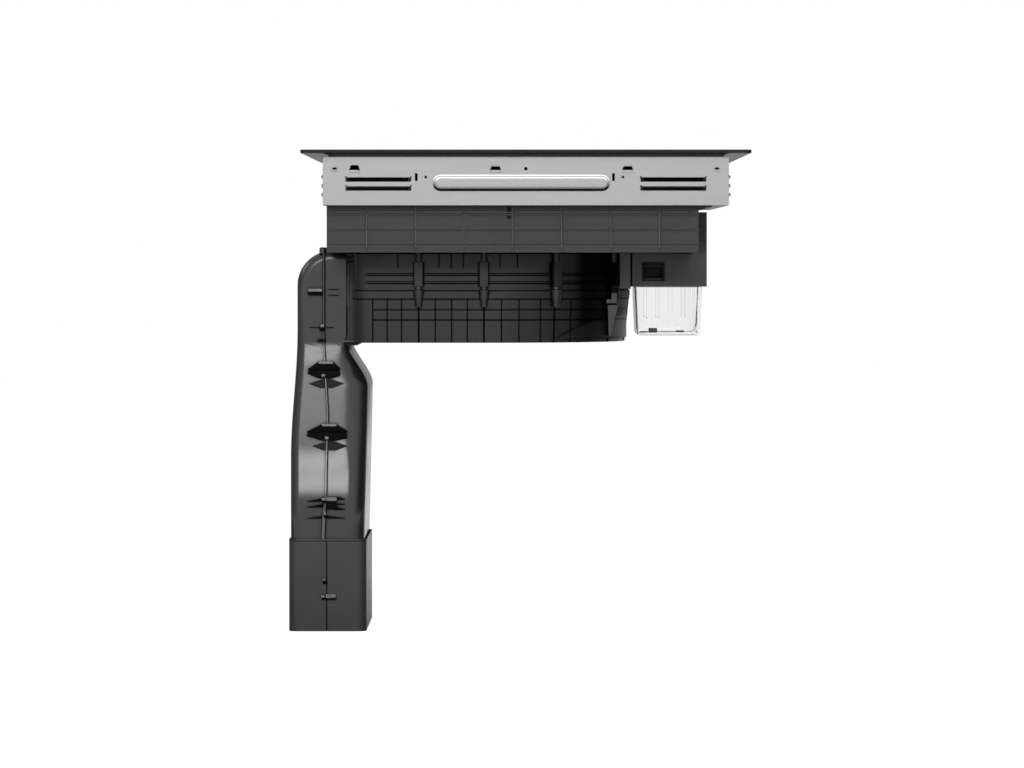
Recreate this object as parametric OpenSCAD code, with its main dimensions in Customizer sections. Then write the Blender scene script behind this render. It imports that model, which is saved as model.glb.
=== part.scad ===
// Built-in induction cooktop with a downdraft extractor under it.
// Millimetres. X runs across the width, the front is -Y and +Z is up.
// The origin is the middle of the worktop cut-out, at the underside of the glass.

/* [Glass top] */
// Width of the glass
glass_w = 592; // [584:1:604]
// Depth of the glass, front to back
glass_d = 522; // [516:1:530]
// Thickness of the glass
glass_t = 4; // [4:0.5:6]
// Corner radius of the glass
glass_corner_r = 6; // [3:1:10]
// Width of the extractor's opening
inlet_w = 96; // [90:1:100]
// Length of the extractor's opening
inlet_l = 280; // [260:1:290]
// Corner radius of the extractor's opening
inlet_corner_r = 5; // [3:0.5:8]
// Distance of the opening's middle behind the glass's middle
inlet_y = 30; // [25:1:35]

/* [Glass frame] */
// Height of the black frame between glass and casing
frame_t = 4; // [3:0.5:6]
// Width of the frame's band
frame_band = 16; // [14:1:20]
// Distance from the casing's side to the frame
frame_inset_side = 6; // [5:0.5:7]
// Distance from the casing's end to the frame
frame_inset_end = 5.5; // [5:0.5:7]
// Thickness of the frame's corner tabs
tab_t = 3; // [2:0.5:4]
// Width of the frame's corner tabs
tab_w = 10; // [8:1:12]
// Height of the frame's corner tabs
tab_h = 20; // [18:1:24]

/* [Casing] */
// Overhang of the glass past the casing, on each side
overhang_side = 20; // [18:1:22]
// Overhang of the glass past the casing, front and rear
overhang_end = 25.5; // [24:0.5:27]
// Height of the steel casing
casing_h = 56.3; // [54:0.5:60]
// Thickness of the steel sheet
sheet_t = 1; // [0.8:0.1:1.2]
// Width of the casing's inward top lip
casing_lip = 8; // [6:0.5:8.5]

/* [Casing openings] */
// Length of a side louvre
louvre_l = 76; // [60:1:80]
// Height of a louvre
louvre_h = 3.9; // [3:0.1:5]
// How far a louvre stands out
louvre_out = 3.4; // [2:0.1:4]
// Distance from a side louvre's outer end to the casing's corner
louvre_end_gap = 26.5; // [24:0.5:30]
// Depth of the upper side louvre's top below the casing's top
louvre_top = 24.1; // [22:0.1:26]
// Step between the side louvres
louvre_step = 10.4; // [9:0.1:12]
// Length of a front or rear louvre
end_louvre_l = 100; // [60:1:110]
// Distance from an end louvre's middle to the casing's side
end_louvre_gap = 76; // [70:1:90]
// Depth of the top rear louvre below the casing's top
rear_louvre_top = 22.2; // [20:0.1:24]
// Depth of the top front louvre below the casing's top
front_louvre_top = 23; // [20:0.1:24]
// Length of the long raised bead
bead_l = 205; // [180:1:210]
// Height of the long raised bead
bead_h = 18.2; // [14:0.1:20]
// How far the bead stands out
bead_out = 2; // [1.5:0.1:2.5]
// Depth of the bead's middle below the casing's top
bead_depth = 30.2; // [28:0.1:32]
// Distance of the bead's middle behind the casing's middle
bead_y = 5.2; // [0:0.1:8]
// Width of a trapezoid window
window_w = 12.5; // [10:0.5:14]
// Height of a trapezoid window
window_h = 5.5; // [4:0.5:6]
// Depth of a window's top below the casing's top
window_depth = 9.8; // [8:0.1:11]
// Height of the tongue under a window
tongue_h = 3.1; // [2:0.1:4]
// Radius of a worktop clamp hole
clamp_hole_r = 1.5; // [1.2:0.1:1.6]
// Distance between the worktop clamp holes
clamp_pitch = 228.6; // [220:0.1:236]
// Distance of the clamp holes' middle behind the casing's middle
clamp_y = 1.7; // [0:0.1:4]
// Depth of the clamp holes below the casing's top
clamp_depth = 23.6; // [22:0.1:25]
// Radius of the middle hole
middle_hole_r = 1.9; // [1.5:0.1:2.5]
// Depth of the middle hole below the casing's top
middle_hole_depth = 13.8; // [12:0.1:15]
// Height of a key slot
key_slot_h = 8.8; // [6:0.1:10]
// Width of a key slot
key_slot_w = 3; // [2:0.1:4]
// Distance from a clamp hole to its key slot
key_slot_gap = 11; // [8:0.1:12]

/* [Extractor inlet] */
// Thickness of the air shaft's wall
shaft_t = 2; // [1.5:0.1:2.5]
// Width of the foot flange round the air shaft
shaft_flange = 8; // [6:0.5:10]
// Width of the ledge that carries the filter container
ledge_w = 3; // [2.5:0.1:3.5]
// Depth of the ledge's top below the glass's underside
ledge_depth = 6; // [5:0.5:8]
// Thickness of the container's wall
container_t = 2; // [1.5:0.1:2.5]
// Height of the filter container
container_h = 81; // [70:1:85]
// Height of the container's side windows
container_window_h = 15; // [10:1:18]
// Number of windows on each side of the container
container_windows = 6; // [4:1:7]
// Width of the rib between two container windows
container_rib = 6; // [4:0.5:8]
// Height of the grease filter
filter_h = 32; // [26:1:38]
// Thickness of the grease filter's metal
filter_t = 1; // [0.8:0.1:1.5]
// Number of slots across the grease filter
filter_slots = 16; // [10:1:20]
// Height of the inlet grille above the glass
grille_proud = 1.5; // [1:0.5:3]
// Number of slots in the inlet grille
grille_slots = 18; // [12:1:24]
// Width of a bar of the inlet grille
grille_bar = 6; // [4:0.5:8]

/* [Induction] */
// Radius of a coil
coil_r = 88; // [80:1:89]
// Radius of a coil's open middle
coil_hole_r = 24; // [20:1:30]
// Thickness of a coil's winding
coil_t = 4.5; // [3:0.5:5]
// Distance between two coils of one side
coil_gap = 20; // [18:1:24]
// Thickness of a coil's carrier
carrier_t = 5; // [4:0.5:6]
// Radius of a temperature sensor
sensor_r = 7; // [5:0.5:9]
// Thickness of an aluminium coil plate
coil_plate_t = 2; // [1.5:0.5:3]
// Radius of a post under a coil plate
post_r = 4; // [3:0.5:5]
// Thickness of a circuit board
board_t = 1.6; // [1:0.2:2.4]
// Height of a board's standoffs
standoff_h = 8; // [6:0.5:10]
// Length of a heat sink
sink_l = 110; // [90:1:120]
// Width of a heat sink
sink_w = 64; // [50:1:70]
// Height of a heat sink
sink_h = 26; // [20:1:28]
// Number of fins on a heat sink
sink_fins = 11; // [7:1:13]
// Thickness of a fin
fin_t = 1.2; // [1:0.1:1.6]
// Side of the cooling fan's square housing
cooler_side = 80; // [74:1:82]
// Height of the cooling fan's housing
cooler_h = 26; // [22:1:30]
// Thickness of the cooling fan's housing
cooler_t = 1.6; // [1.2:0.1:2]
// Number of blades of the cooling fan
cooler_blades = 18; // [12:1:24]

/* [Touch control and cable] */
// Length of the touch control's board
touch_l = 220; // [180:1:230]
// Width of the touch control's board
touch_w = 22; // [18:1:24]
// Number of touch pads
touch_pads = 9; // [5:1:12]
// Radius of a touch pad
pad_r = 5; // [3:0.5:6]
// Radius of the hole for the power cable
cable_r = 5; // [4:0.5:6]
// Outer radius of the cable gland
gland_r = 8; // [7:0.5:9]
// How far the cable gland stands out
gland_out = 10; // [8:1:14]

/* [Lower tray] */
// Distance from the casing's side to the tray
tray_inset_side = 26; // [24:1:30]
// Distance from the casing's rear to the tray
tray_inset_rear = 3.4; // [3:0.1:6]
// Distance from the casing's front to the tray
tray_inset_front = 34.2; // [32:0.1:38]
// Height of the tray with its flange
tray_h = 54.7; // [50:0.1:58]
// Thickness of the tray's walls
tray_t = 2.5; // [2:0.1:3]
// Thickness of the tray's top flange
tray_flange_t = 1.7; // [1.5:0.1:2.5]
// How far the tray's ribs stand out
tray_rib_out = 1.2; // [0.8:0.1:1.6]
// Thickness of the tray's ribs
tray_rib_t = 1.6; // [1.2:0.1:2]
// Step between the tray's upright ribs
tray_rib_step = 57.1; // [50:0.1:60]
// Half width of the tray's front bulge
bulge_half = 80; // [75:1:85]
// Height of the gap above the front bulge
bulge_gap = 4.4; // [3:0.1:6]
// Radius of the drain hole
drain_r = 14; // [10:1:18]

/* [Tank] */
// Height of the tank holder
holder_h = 40.8; // [38:0.1:44]
// Depth of the tank holder, front to back
holder_d = 89.6; // [86:0.1:91]
// Gap between the fan housing's front and the tank holder
holder_gap = 3.1; // [2.5:0.1:4]
// Thickness of the holder's walls
holder_t = 2.5; // [2:0.1:3]
// Height of the overflow tank below its holder
tank_h = 58.6; // [50:0.1:62]
// Half width of the overflow tank
tank_half = 72; // [68:1:73]
// Depth of the overflow tank, front to back
tank_d = 78; // [74:1:79]
// Thickness of the tank's walls
tank_t = 2; // [1.5:0.1:2.5]
// Height of the seal between tank and holder
seal_t = 2.5; // [2:0.1:3]

/* [Fan housing] */
// Distance of the fan's axis behind the glass's middle
fan_y = 28; // [26:0.5:30]
// Gap between tray and fan housing
housing_gap = 1.7; // [1.5:0.1:2]
// Height of the fan housing's upper shell
upper_h = 44.8; // [42:0.1:46]
// Height of the fan housing's lower shell
lower_h = 60.3; // [56:0.1:62]
// Thickness of the housing's walls
housing_t = 2.5; // [2:0.1:3]
// Radius of the spiral wall at its tongue
tongue_r = 136; // [134:0.5:138]
// Radius of the spiral wall at its end
spiral_end_r = 165; // [160:0.5:166]
// Angle of the tongue from +X
tongue_angle = 35; // [33:1:37]
// Distance from the fan's axis to the housing's rear wall
housing_rear = 175.3; // [173:0.1:177]
// Radius of the housing's rear corner
housing_corner_r = 14; // [10:1:18]
// Lean of the lower shell's front wall
front_draft = 6; // [4:0.5:7]
// Gap between the outlet spigot and the duct's side walls
spigot_gap = 2.5; // [2:0.1:3]
// Length of the outlet spigot behind the rear wall
spigot_l = 19; // [16:0.5:20]
// Thickness of the housing's outer ribs
rib_t = 0.9; // [0.7:0.1:1.2]
// How far the housing's outer ribs stand out
rib_out = 1.4; // [1:0.1:1.8]
// Radius of a screw boss
boss_r = 5.6; // [5:0.1:6]
// Radius of a lower boss at its bottom
boss_tip_r = 3.8; // [3.6:0.1:4]

/* [Blower] */
// Radius of the air inlet's throat
throat_r = 80; // [76:1:82]
// Radius of the impeller
impeller_r = 112; // [108:1:114]
// Height of the impeller's blades
blade_h = 69; // [64:1:70]
// Radial depth of a blade
blade_d = 20; // [16:1:22]
// Thickness of a blade
blade_t = 1.4; // [1.2:0.1:1.8]
// Number of blades
blades = 32; // [24:1:40]
// Thickness of the impeller's plates
impeller_t = 2.5; // [2:0.1:3]
// Radius of the motor's rotor cup
rotor_r = 39; // [36:0.5:42]
// Height of the motor's rotor cup
rotor_h = 36; // [34:1:38]
// Radius of the motor's shaft
shaft_r = 3.95; // [3.91:0.01:3.98]
// Bore radius of a bearing
bearing_bore_r = 4; // [4:0.01:4.02]
// Outer radius of a bearing
bearing_r = 8; // [7.5:0.1:8.2]
// Height of a bearing
bearing_h = 5; // [4:0.5:6]

/* [Duct] */
// Gap between the housing's rear wall and the duct's mouth
collar_gap = 11.4; // [10:0.1:13]
// Half width of the duct at the elbow
elbow_half = 106; // [105:0.5:107]
// Half width of the duct at its lower end
duct_half = 110; // [109:0.5:110.5]
// Depth of the duct, front to back
duct_d = 88; // [86:0.5:88.2]
// Thickness of the duct's walls
duct_t = 2; // [1.5:0.1:2.5]
// Height of the duct's mouth
mouth_h = 109.4; // [107:0.1:110]
// Outer bend radius of the elbow
elbow_r = 41.7; // [38:0.1:43]
// Distance from the mouth to the start of the bend
elbow_run = 16.9; // [15:0.1:18]
// How far the rear wall leans back on its way down
rear_lean = 8; // [7:0.1:8.2]
// Height over which the front wall comes in
shoulder_h = 57; // [52:1:60]
// How far the front wall leans back below its shoulder
front_lean = 4.6; // [4:0.1:4.8]
// Length of the duct below the roof
duct_l = 427.4; // [410:1:430]
// Corner radius of the duct
duct_corner_r = 6; // [5:0.5:8]
// Distance of the seam behind the mouth
seam_run = 24.3; // [23:0.1:26]
// How far the seam's flange stands up at the roof
seam_proud = 4; // [3:0.1:4.5]
// Thickness of the seam's flange
seam_t = 8; // [6:0.5:8]

/* [Sleeve] */
// Height of the sleeve
sleeve_h = 110; // [100:1:120]
// Length of the duct that lies inside the sleeve
sleeve_overlap = 82; // [80:1:84]
// Outer half width of the sleeve
sleeve_half = 113.5; // [113.2:0.1:115]
// Outer depth of the sleeve
sleeve_d = 93.2; // [93:0.1:95]
// Thickness of the sleeve's walls
sleeve_t = 2; // [1.8:0.1:2.1]
// Corner radius of the sleeve
sleeve_corner_r = 8; // [6:0.5:10]

/* [Fasteners] */
// Radius of a screw's shank
screw_r = 1.9; // [1.8:0.1:2]
// Radius of a screw's head
screw_head_r = 3.4; // [3:0.1:3.6]
// Height of a screw's head
screw_head_h = 2; // [1.5:0.1:2.4]
// Radius of a clearance hole for a screw
screw_hole_r = 2.2; // [2.1:0.1:2.4]
// Distance from the casing's corner to a corner screw
corner_screw_gap = 13.8; // [13.5:0.1:14.5]
// Depth of a corner screw below the casing's top
corner_screw_depth = 13.7; // [12:0.1:15]

/* [Hidden] */
$fn = 64;
// Overrun of a cut past the face that it leaves
over = 1;
// Clearance of a loose fit
loose = 0.5;
// Clearance round a piece that sits in its seat
seat_gap = 0.3;
// Radial clearance of a pressed seat
press_gap = 0.02;

// Levels of the casing
casing_w = glass_w - 2 * overhang_side;
casing_d = glass_d - 2 * overhang_end;
casing_top = -frame_t;
casing_bottom = casing_top - casing_h;
floor_top = casing_bottom + sheet_t;
casing_side = casing_w / 2;
casing_rear = casing_d / 2;
frame_w = casing_w - 2 * frame_inset_side;
frame_d = casing_d - 2 * frame_inset_end;
tab_x = casing_side - casing_lip - seat_gap - tab_t;
corner_screw_y = casing_rear - corner_screw_gap;

// Places along the casing's side, as shares of its depth
window_shares = [0.4219, 0.0745, -0.251];
window_top_share = 0.68;

// Air shaft, container, filter and grille, one inside the other
shaft_in_w = inlet_w + 2 * loose;
shaft_in_l = inlet_l + 2 * loose;
shaft_out_w = shaft_in_w + 2 * shaft_t;
shaft_out_l = shaft_in_l + 2 * shaft_t;
shaft_bottom = casing_bottom - tray_flange_t;
ledge_t = shaft_t;
ledge_in_w = shaft_in_w - 2 * ledge_w;
ledge_in_l = shaft_in_l - 2 * ledge_w;
rim_t = 2;
rim_w = inlet_w - 2 * loose;
rim_l = inlet_l - 2 * loose;
container_w = ledge_in_w - 2 * loose;
container_l = ledge_in_l - 2 * loose;
container_top = -ledge_depth + rim_t;
container_bottom = container_top - container_h;
filter_w = container_w - 2 * container_t - 2 * loose;
filter_l = container_l - 2 * container_t - 2 * loose;
filter_top = container_top + filter_t;
grille_bottom = filter_top;
grille_t = glass_t + grille_proud - grille_bottom;
grille_w = inlet_w - 2 * loose;
grille_l = inlet_l - 2 * loose;

// Induction: one coil bay on each side of the air shaft
bay_in = shaft_out_w / 2 + 3 * loose;
bay_out = casing_side - sheet_t - tab_t;
coil_x = (bay_in + bay_out) / 2;
coil_y = coil_r + coil_gap / 2;
coil_top = -frame_t + seat_gap * 2;
coil_bottom = coil_top - coil_t;
carrier_bottom = coil_bottom - carrier_t;
plate_bottom = carrier_bottom - coil_plate_t;
coil_plate_w = bay_out - bay_in - 4 * loose;
coil_plate_l = 2 * coil_y + 2 * coil_r;
post_share = 0.94;
board_top = floor_top + standoff_h + board_t;
board_w = coil_plate_w - 4 * post_r;
board_l_share = 0.82;
board_y_share = -0.06;
board_l = coil_plate_l * board_l_share;
board_y = coil_plate_l * board_y_share;
cooler_y = casing_rear - sheet_t - cooler_side / 2 - 3 * loose;
cooler_hole_share = 0.27;
cooler_bore_share = 0.46;
cooler_hole_r = cooler_side * cooler_hole_share;
cooler_bore_r = cooler_side * cooler_bore_share;
cooler_wheel_r = cooler_bore_r - 3 * loose;
cooler_pin_r = 2;
cooler_running = 0.05;

// Touch control behind the front edge
touch_inset = 8;
touch_y = -(frame_d / 2 - frame_band) + touch_inset;
touch_lift = 3;
touch_board_top = -frame_t - touch_lift;
touch_carrier_t = 2;

// Cable gland on the right side
gland_corner_gap = 13;
gland_depth = 38;
gland_wall = 1.6;
gland_y = casing_rear - gland_corner_gap;
gland_z = casing_top - gland_depth;
gland_in = 8;
gland_thread_r = cable_r + gland_wall;

// Lower tray
tray_top = casing_bottom;
tray_side = casing_side - tray_inset_side;
tray_rear = casing_rear - tray_inset_rear;
tray_front = -(casing_rear - tray_inset_front);
tray_bottom = tray_top - tray_h;
tray_floor = tray_bottom + tray_t;
flange_bottom = tray_top - tray_flange_t;
flange_corner_r = 12;
holder_rear = fan_y - spiral_r(-90) - holder_gap;
holder_front = holder_rear - holder_d;
bulge_front = holder_front;
bulge_top = flange_bottom - bulge_gap;
tray_rib_levels = [0.171, 0.503, 0.80];
first_rib_share = 0.106;
tray_screw_l = 14;

// Tank and its holder
holder_top = tray_bottom;
holder_bottom = holder_top - holder_h;
holder_mid = (holder_front + holder_rear) / 2;
chamber_h = 8;
shelf_top = holder_top - holder_t - chamber_h;
shelf_bottom = shelf_top - holder_t;
shelf_band = 18;
tank_top = shelf_bottom - seal_t;
tank_bottom = holder_bottom - tank_h;
tank_shift = 1;
tank_mid = holder_mid + tank_shift;
tank_corner_r = 4;
collar_t = 2.5;
collar_half = bulge_half - holder_t - loose;
collar_z = holder_bottom + seat_gap;
hook_t = 1.5;
hook_w = 19;
hook_gap = 25.5;
hook_y = holder_rear - hook_gap;
hole_window_w = 22.9;
hole_window_h = 14.4;
hole_window_depth = 16.6;
hole_window_top = holder_top - hole_window_depth;
holder_screw_gap = 10;
holder_screw_x = bulge_half - holder_screw_gap;
holder_screw_y = holder_d / 2 - holder_screw_gap;

// Fan housing
housing_top = tray_bottom - housing_gap;
parting = housing_top - upper_h;
housing_bottom = parting - lower_h;
housing_rear_y = fan_y + housing_rear;
rib_flange_t = 1.6;
rib_flange_out = 3;
spigot_half = elbow_half - duct_t - spigot_gap;
spigot_drop = 1.6;
spigot_rise = 5;
spigot_top = housing_top - spigot_drop;
spigot_bottom = housing_bottom + spigot_rise;
upper_rib_shares = [0.511, 0.570, 0.725, 0.779];
lower_rib_shares = [0.144, 0.352, 0.557, 0.80];
// Upright ribs of the near wall, as shares of the way from the axis to the rear wall
upper_tick_shares = [0.703, 0.426, 0.343, 0.261, 0.014, -0.104];
lower_upright_shares = [0.873, 0.776, 0.679, 0.451, 0.341, 0.235, 0.005, -0.115, -0.261, -0.468];
wall_boss_shares = [0.563, 0.122];
spiral_boss_angles = [-157.2, -124.3, -60, -12];
tick_h = 16.5;
boss_drop = 10.3;
boss_cone_h = 15.9;
boss_off = 4.2;

// Blower
throat_t = 3.7;
throat_flange = 12;
impeller_gap = 4.8;
impeller_top = housing_top - housing_t - impeller_gap;
impeller_in_r = impeller_r - blade_d;
impeller_bottom = impeller_top - impeller_t - blade_h;
dome_gap = 2;
dome_r = rotor_r + dome_gap;
dome_rise = 18;
rotor_top = impeller_bottom + dome_rise;
rotor_bottom = rotor_top - rotor_h;
rotor_t = 3;
hub_r = 10;
motor_floor = housing_bottom + housing_t;
bracket_t = 3;
bracket_top = motor_floor + bracket_t;
tube_wall = 4;
rotor_gap = 1;
tube_r = bearing_r + tube_wall;
tube_top = rotor_top - rotor_t - rotor_gap;
stator_gap = 0.2;
stator_r = rotor_r - rotor_t - 2 * rotor_gap;
stator_bottom = bracket_top + bracket_t + seat_gap;
stator_top = tube_top - bearing_h;
arm_r = 58;
arm_w = 14;
motor_screw_r = 52;

// Duct and sleeve
mouth_y = housing_rear_y + collar_gap;
roof_rise = 2.4;
roof_z = tray_bottom + roof_rise;
mouth_bottom = roof_z - mouth_h;
elbow_rear = mouth_y + elbow_run + elbow_r;
elbow_low = roof_z - elbow_r;
shoulder_top = mouth_bottom + duct_t;
knee_z = shoulder_top - shoulder_h;
lean_drop = 95;
lean_h = 152;
lean_top = roof_z - lean_drop;
knee_y = lean_rear(knee_z) - duct_d;
duct_bottom = roof_z - duct_l;
seam_y = mouth_y + seam_run;
shell_reach = 2 * duct_half;
shell_rear = seam_y + 2 * duct_d;
sleeve_top = duct_bottom + sleeve_overlap;
sleeve_bottom = sleeve_top - sleeve_h;
sleeve_rear = elbow_rear + rear_lean + seat_gap + sleeve_t;
sleeve_front = sleeve_rear - sleeve_d;
clip_shares = [0.118, 0.347, 0.520, 0.719];
seam_end_gap = 6;
clip_l = 18;
clip_r = 1.7;

// Notch in the tray's floor over the duct's mouth
notch_rise = 4;
notch_half = elbow_half + 4;
notch_front = housing_rear_y - tray_t;
seal_top = tray_bottom + notch_rise - 5 * seat_gap;

// A box from one corner to the opposite one
module span_box(low, high) {
  translate(low)
    cube(high - low);
}

// A rectangle round the origin with rounded corners
module rounded_rect(w, d, r) {
  square([w - 2 * r, d], center = true);
  square([w, d - 2 * r], center = true);
  for (sx = [-1, 1], sy = [-1, 1])
    translate([sx * (w / 2 - r), sy * (d / 2 - r)])
      circle(r);
}

// A flat ring with rounded corners
module rect_ring(w, d, r, band) {
  difference() {
    rounded_rect(w, d, r);
    rounded_rect(w - 2 * band, d - 2 * band, max(r - band, band / 4));
  }
}

// A racetrack along X
module racetrack(l, h) {
  square([l - h, h], center = true);
  for (s = [-1, 1])
    translate([s * (l - h) / 2, 0])
      circle(h / 2);
}

// A screw that points down, its head's underside at the origin
module screw_down(l) {
  cylinder(r = screw_head_r, h = screw_head_h);
  translate([0, 0, -l])
    cylinder(r = screw_r, h = l + screw_head_h / 2);
}

// Turns a shape drawn with X along a wall and Y outwards onto the left wall
module on_left_wall() {
  translate([-casing_side, 0, 0])
    rotate([0, 0, 90])
      children();
}

// The same on both side walls
module on_side_walls() {
  for (m = [0, 1])
    mirror([m, 0, 0])
      on_left_wall()
        children();
}

module glass_top() {
  color("#0f0f11")
    linear_extrude(glass_t)
      difference() {
        rounded_rect(glass_w, glass_d, glass_corner_r);
        translate([0, inlet_y])
          rounded_rect(inlet_w, inlet_l, inlet_corner_r);
      }
}

module glass_frame() {
  color("#171717") {
    difference() {
      union() {
        translate([0, 0, -frame_t])
          linear_extrude(frame_t)
            rect_ring(frame_w, frame_d, glass_corner_r, frame_band);
        for (sx = [-1, 1], sy = [-1, 1])
          translate([sx * (tab_x + tab_t / 2), sy * corner_screw_y, -frame_t - tab_h / 2 + frame_t / 4])
            cube([tab_t, tab_w, tab_h + frame_t / 2], center = true);
      }
      corner_screw_holes(screw_r + press_gap);
    }
  }
}

// The corner screws' holes, across the whole width
module corner_screw_holes(r) {
  for (sy = [-1, 1])
    translate([-casing_side - over, sy * corner_screw_y, casing_top - corner_screw_depth])
      rotate([0, 90, 0])
        cylinder(r = r, h = casing_w + 2 * over);
}

module casing_screws() {
  color("#4b4b4d")
    for (m = [0, 1], sy = [-1, 1])
      mirror([m, 0, 0])
        translate([-casing_side, sy * corner_screw_y, casing_top - corner_screw_depth])
          rotate([0, -90, 0])
            screw_down(casing_lip + tab_t + seat_gap);
}

// One louvre's outer form, drawn with its open top at the origin
module louvre_body(l) {
  translate([-l / 2, 0, 0])
    rotate([90, 0, 90])
      linear_extrude(l)
        polygon([
          [-sheet_t / 2, -louvre_h - sheet_t],
          [0, -louvre_h - sheet_t],
          [louvre_out, 0],
          [-sheet_t / 2, 0]
        ]);
}

// The space inside a louvre, which also opens the wall
module louvre_cut(l) {
  translate([-l / 2 + sheet_t, 0, 0])
    rotate([90, 0, 90])
      linear_extrude(l - 2 * sheet_t)
        polygon([
          [-2 * sheet_t, -louvre_h],
          [0, -louvre_h],
          [louvre_out - sheet_t, over / 4],
          [-sheet_t * 3 / 4, over / 4],
          [-sheet_t * 3 / 4, 0],
          [-2 * sheet_t, 0]
        ]);
}

// Places both louvre shapes at every louvre of the casing
module at_side_louvres() {
  on_side_walls()
    for (s = [-1, 1], i = [0, 1])
      translate([
        s * (casing_rear - louvre_end_gap - louvre_l / 2),
        0,
        casing_top - louvre_top - i * louvre_step
      ])
        children();
}

module at_end_louvres() {
  x = -casing_side + end_louvre_gap;
  for (i = [0:2]) {
    translate([x, casing_rear, casing_top - rear_louvre_top - i * louvre_step])
      children();
    translate([x, -casing_rear, casing_top - front_louvre_top - i * louvre_step])
      rotate([0, 0, 180])
        children();
  }
}

// The long raised bead of a side wall
module bead(l, h, low, high) {
  translate([bead_y, high, casing_top - bead_depth])
    rotate([90, 0, 0])
      linear_extrude(high - low)
        racetrack(l, h);
}

module window_cut(y) {
  translate([y, over, casing_top - window_depth - window_h])
    rotate([90, 0, 0])
      linear_extrude(sheet_t + 2 * over)
        polygon([
          [-window_w / 2, 0],
          [window_w / 2, 0],
          [window_w / 2 * window_top_share, window_h],
          [-window_w / 2 * window_top_share, window_h]
        ]);
}

module casing() {
  color("#b6b6b8")
    difference() {
      union() {
        casing_box();
        at_side_louvres()
          louvre_body(louvre_l);
        at_end_louvres()
          louvre_body(end_louvre_l);
        on_side_walls() {
          bead(bead_l, bead_h, -sheet_t / 2, bead_out);
          for (share = window_shares)
            translate([share * casing_d - window_w * window_top_share / 2, -sheet_t / 2,
                casing_top - window_depth - window_h - tongue_h])
              cube([window_w * window_top_share, sheet_t * 3 / 2, tongue_h]);
        }
      }
      at_side_louvres()
        louvre_cut(louvre_l);
      at_end_louvres()
        louvre_cut(end_louvre_l);
      on_side_walls()
        side_cuts();
      corner_screw_holes(screw_hole_r);
      translate([0, inlet_y, casing_bottom - over])
        linear_extrude(sheet_t + 2 * over)
          rounded_rect(shaft_out_w + 2 * seat_gap, shaft_out_l + 2 * seat_gap, inlet_corner_r);
      translate([casing_side - sheet_t - over, gland_y, gland_z])
        rotate([0, 90, 0])
          cylinder(r = gland_thread_r + seat_gap, h = sheet_t + 2 * over);
      for (place = tray_screw_places())
        translate([place.x, place.y, casing_bottom - over])
          cylinder(r = screw_hole_r, h = sheet_t + 2 * over);
    }
}

// The folded tray of the casing with its inward lip
module casing_box() {
  difference() {
    span_box([-casing_side, -casing_rear, casing_bottom], [casing_side, casing_rear, casing_top]);
    span_box(
      [-casing_side + sheet_t, -casing_rear + sheet_t, floor_top],
      [casing_side - sheet_t, casing_rear - sheet_t, casing_top - sheet_t]
    );
    span_box(
      [-casing_side + casing_lip, -casing_rear + casing_lip, floor_top],
      [casing_side - casing_lip, casing_rear - casing_lip, casing_top + over]
    );
  }
}

// What is cut through a side wall besides the louvres
module side_cuts() {
  bead(bead_l - 2 * sheet_t, bead_h - 2 * sheet_t, -sheet_t - over, bead_out - sheet_t);
  for (share = window_shares)
    window_cut(share * casing_d);
  for (s = [-1, 1]) {
    translate([clamp_y + s * clamp_pitch / 2, over, casing_top - clamp_depth])
      rotate([90, 0, 0])
        cylinder(r = clamp_hole_r, h = sheet_t + 2 * over);
    translate([clamp_y + s * clamp_pitch / 2 + key_slot_gap, over, casing_top - clamp_depth])
      rotate([90, 0, 0])
        linear_extrude(sheet_t + 2 * over)
          square([key_slot_w, key_slot_h], center = true);
  }
  translate([0, over, casing_top - middle_hole_depth])
    rotate([90, 0, 0])
      cylinder(r = middle_hole_r, h = sheet_t + 2 * over);
}

module air_shaft() {
  color("#2b2b2d")
    translate([0, inlet_y, 0])
      union() {
        translate([0, 0, shaft_bottom])
          linear_extrude(-shaft_bottom)
            rect_ring(shaft_out_w, shaft_out_l, inlet_corner_r, shaft_t);
        translate([0, 0, floor_top])
          linear_extrude(shaft_t)
            difference() {
              square([shaft_out_w + 2 * loose * 2, shaft_out_l + 2 * shaft_flange], center = true);
              square([shaft_in_w + shaft_t, shaft_in_l + shaft_t], center = true);
            }
        translate([0, 0, -ledge_depth - ledge_t])
          linear_extrude(ledge_t)
            difference() {
              square([shaft_in_w + shaft_t, shaft_in_l + shaft_t], center = true);
              square([ledge_in_w, ledge_in_l], center = true);
            }
      }
}

// Windows along both long sides of the container
module container_window_cuts() {
  pitch = (container_l - container_rib) / container_windows;
  for (i = [0:container_windows - 1])
    translate([
      -container_w / 2 - over,
      -container_l / 2 + container_rib + i * pitch,
      container_bottom + 2 * container_t
    ])
      cube([container_w + 2 * over, pitch - container_rib, container_window_h]);
}

module filter_container() {
  color("#242426")
    translate([0, inlet_y, 0])
      difference() {
        union() {
          translate([0, 0, container_bottom])
            linear_extrude(container_h)
              square([container_w, container_l], center = true);
          translate([0, 0, container_top - rim_t])
            linear_extrude(rim_t)
              square([rim_w, rim_l], center = true);
        }
        translate([0, 0, container_bottom + container_t])
          linear_extrude(container_h)
            square([container_w - 2 * container_t, container_l - 2 * container_t], center = true);
        container_window_cuts();
      }
}

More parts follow.
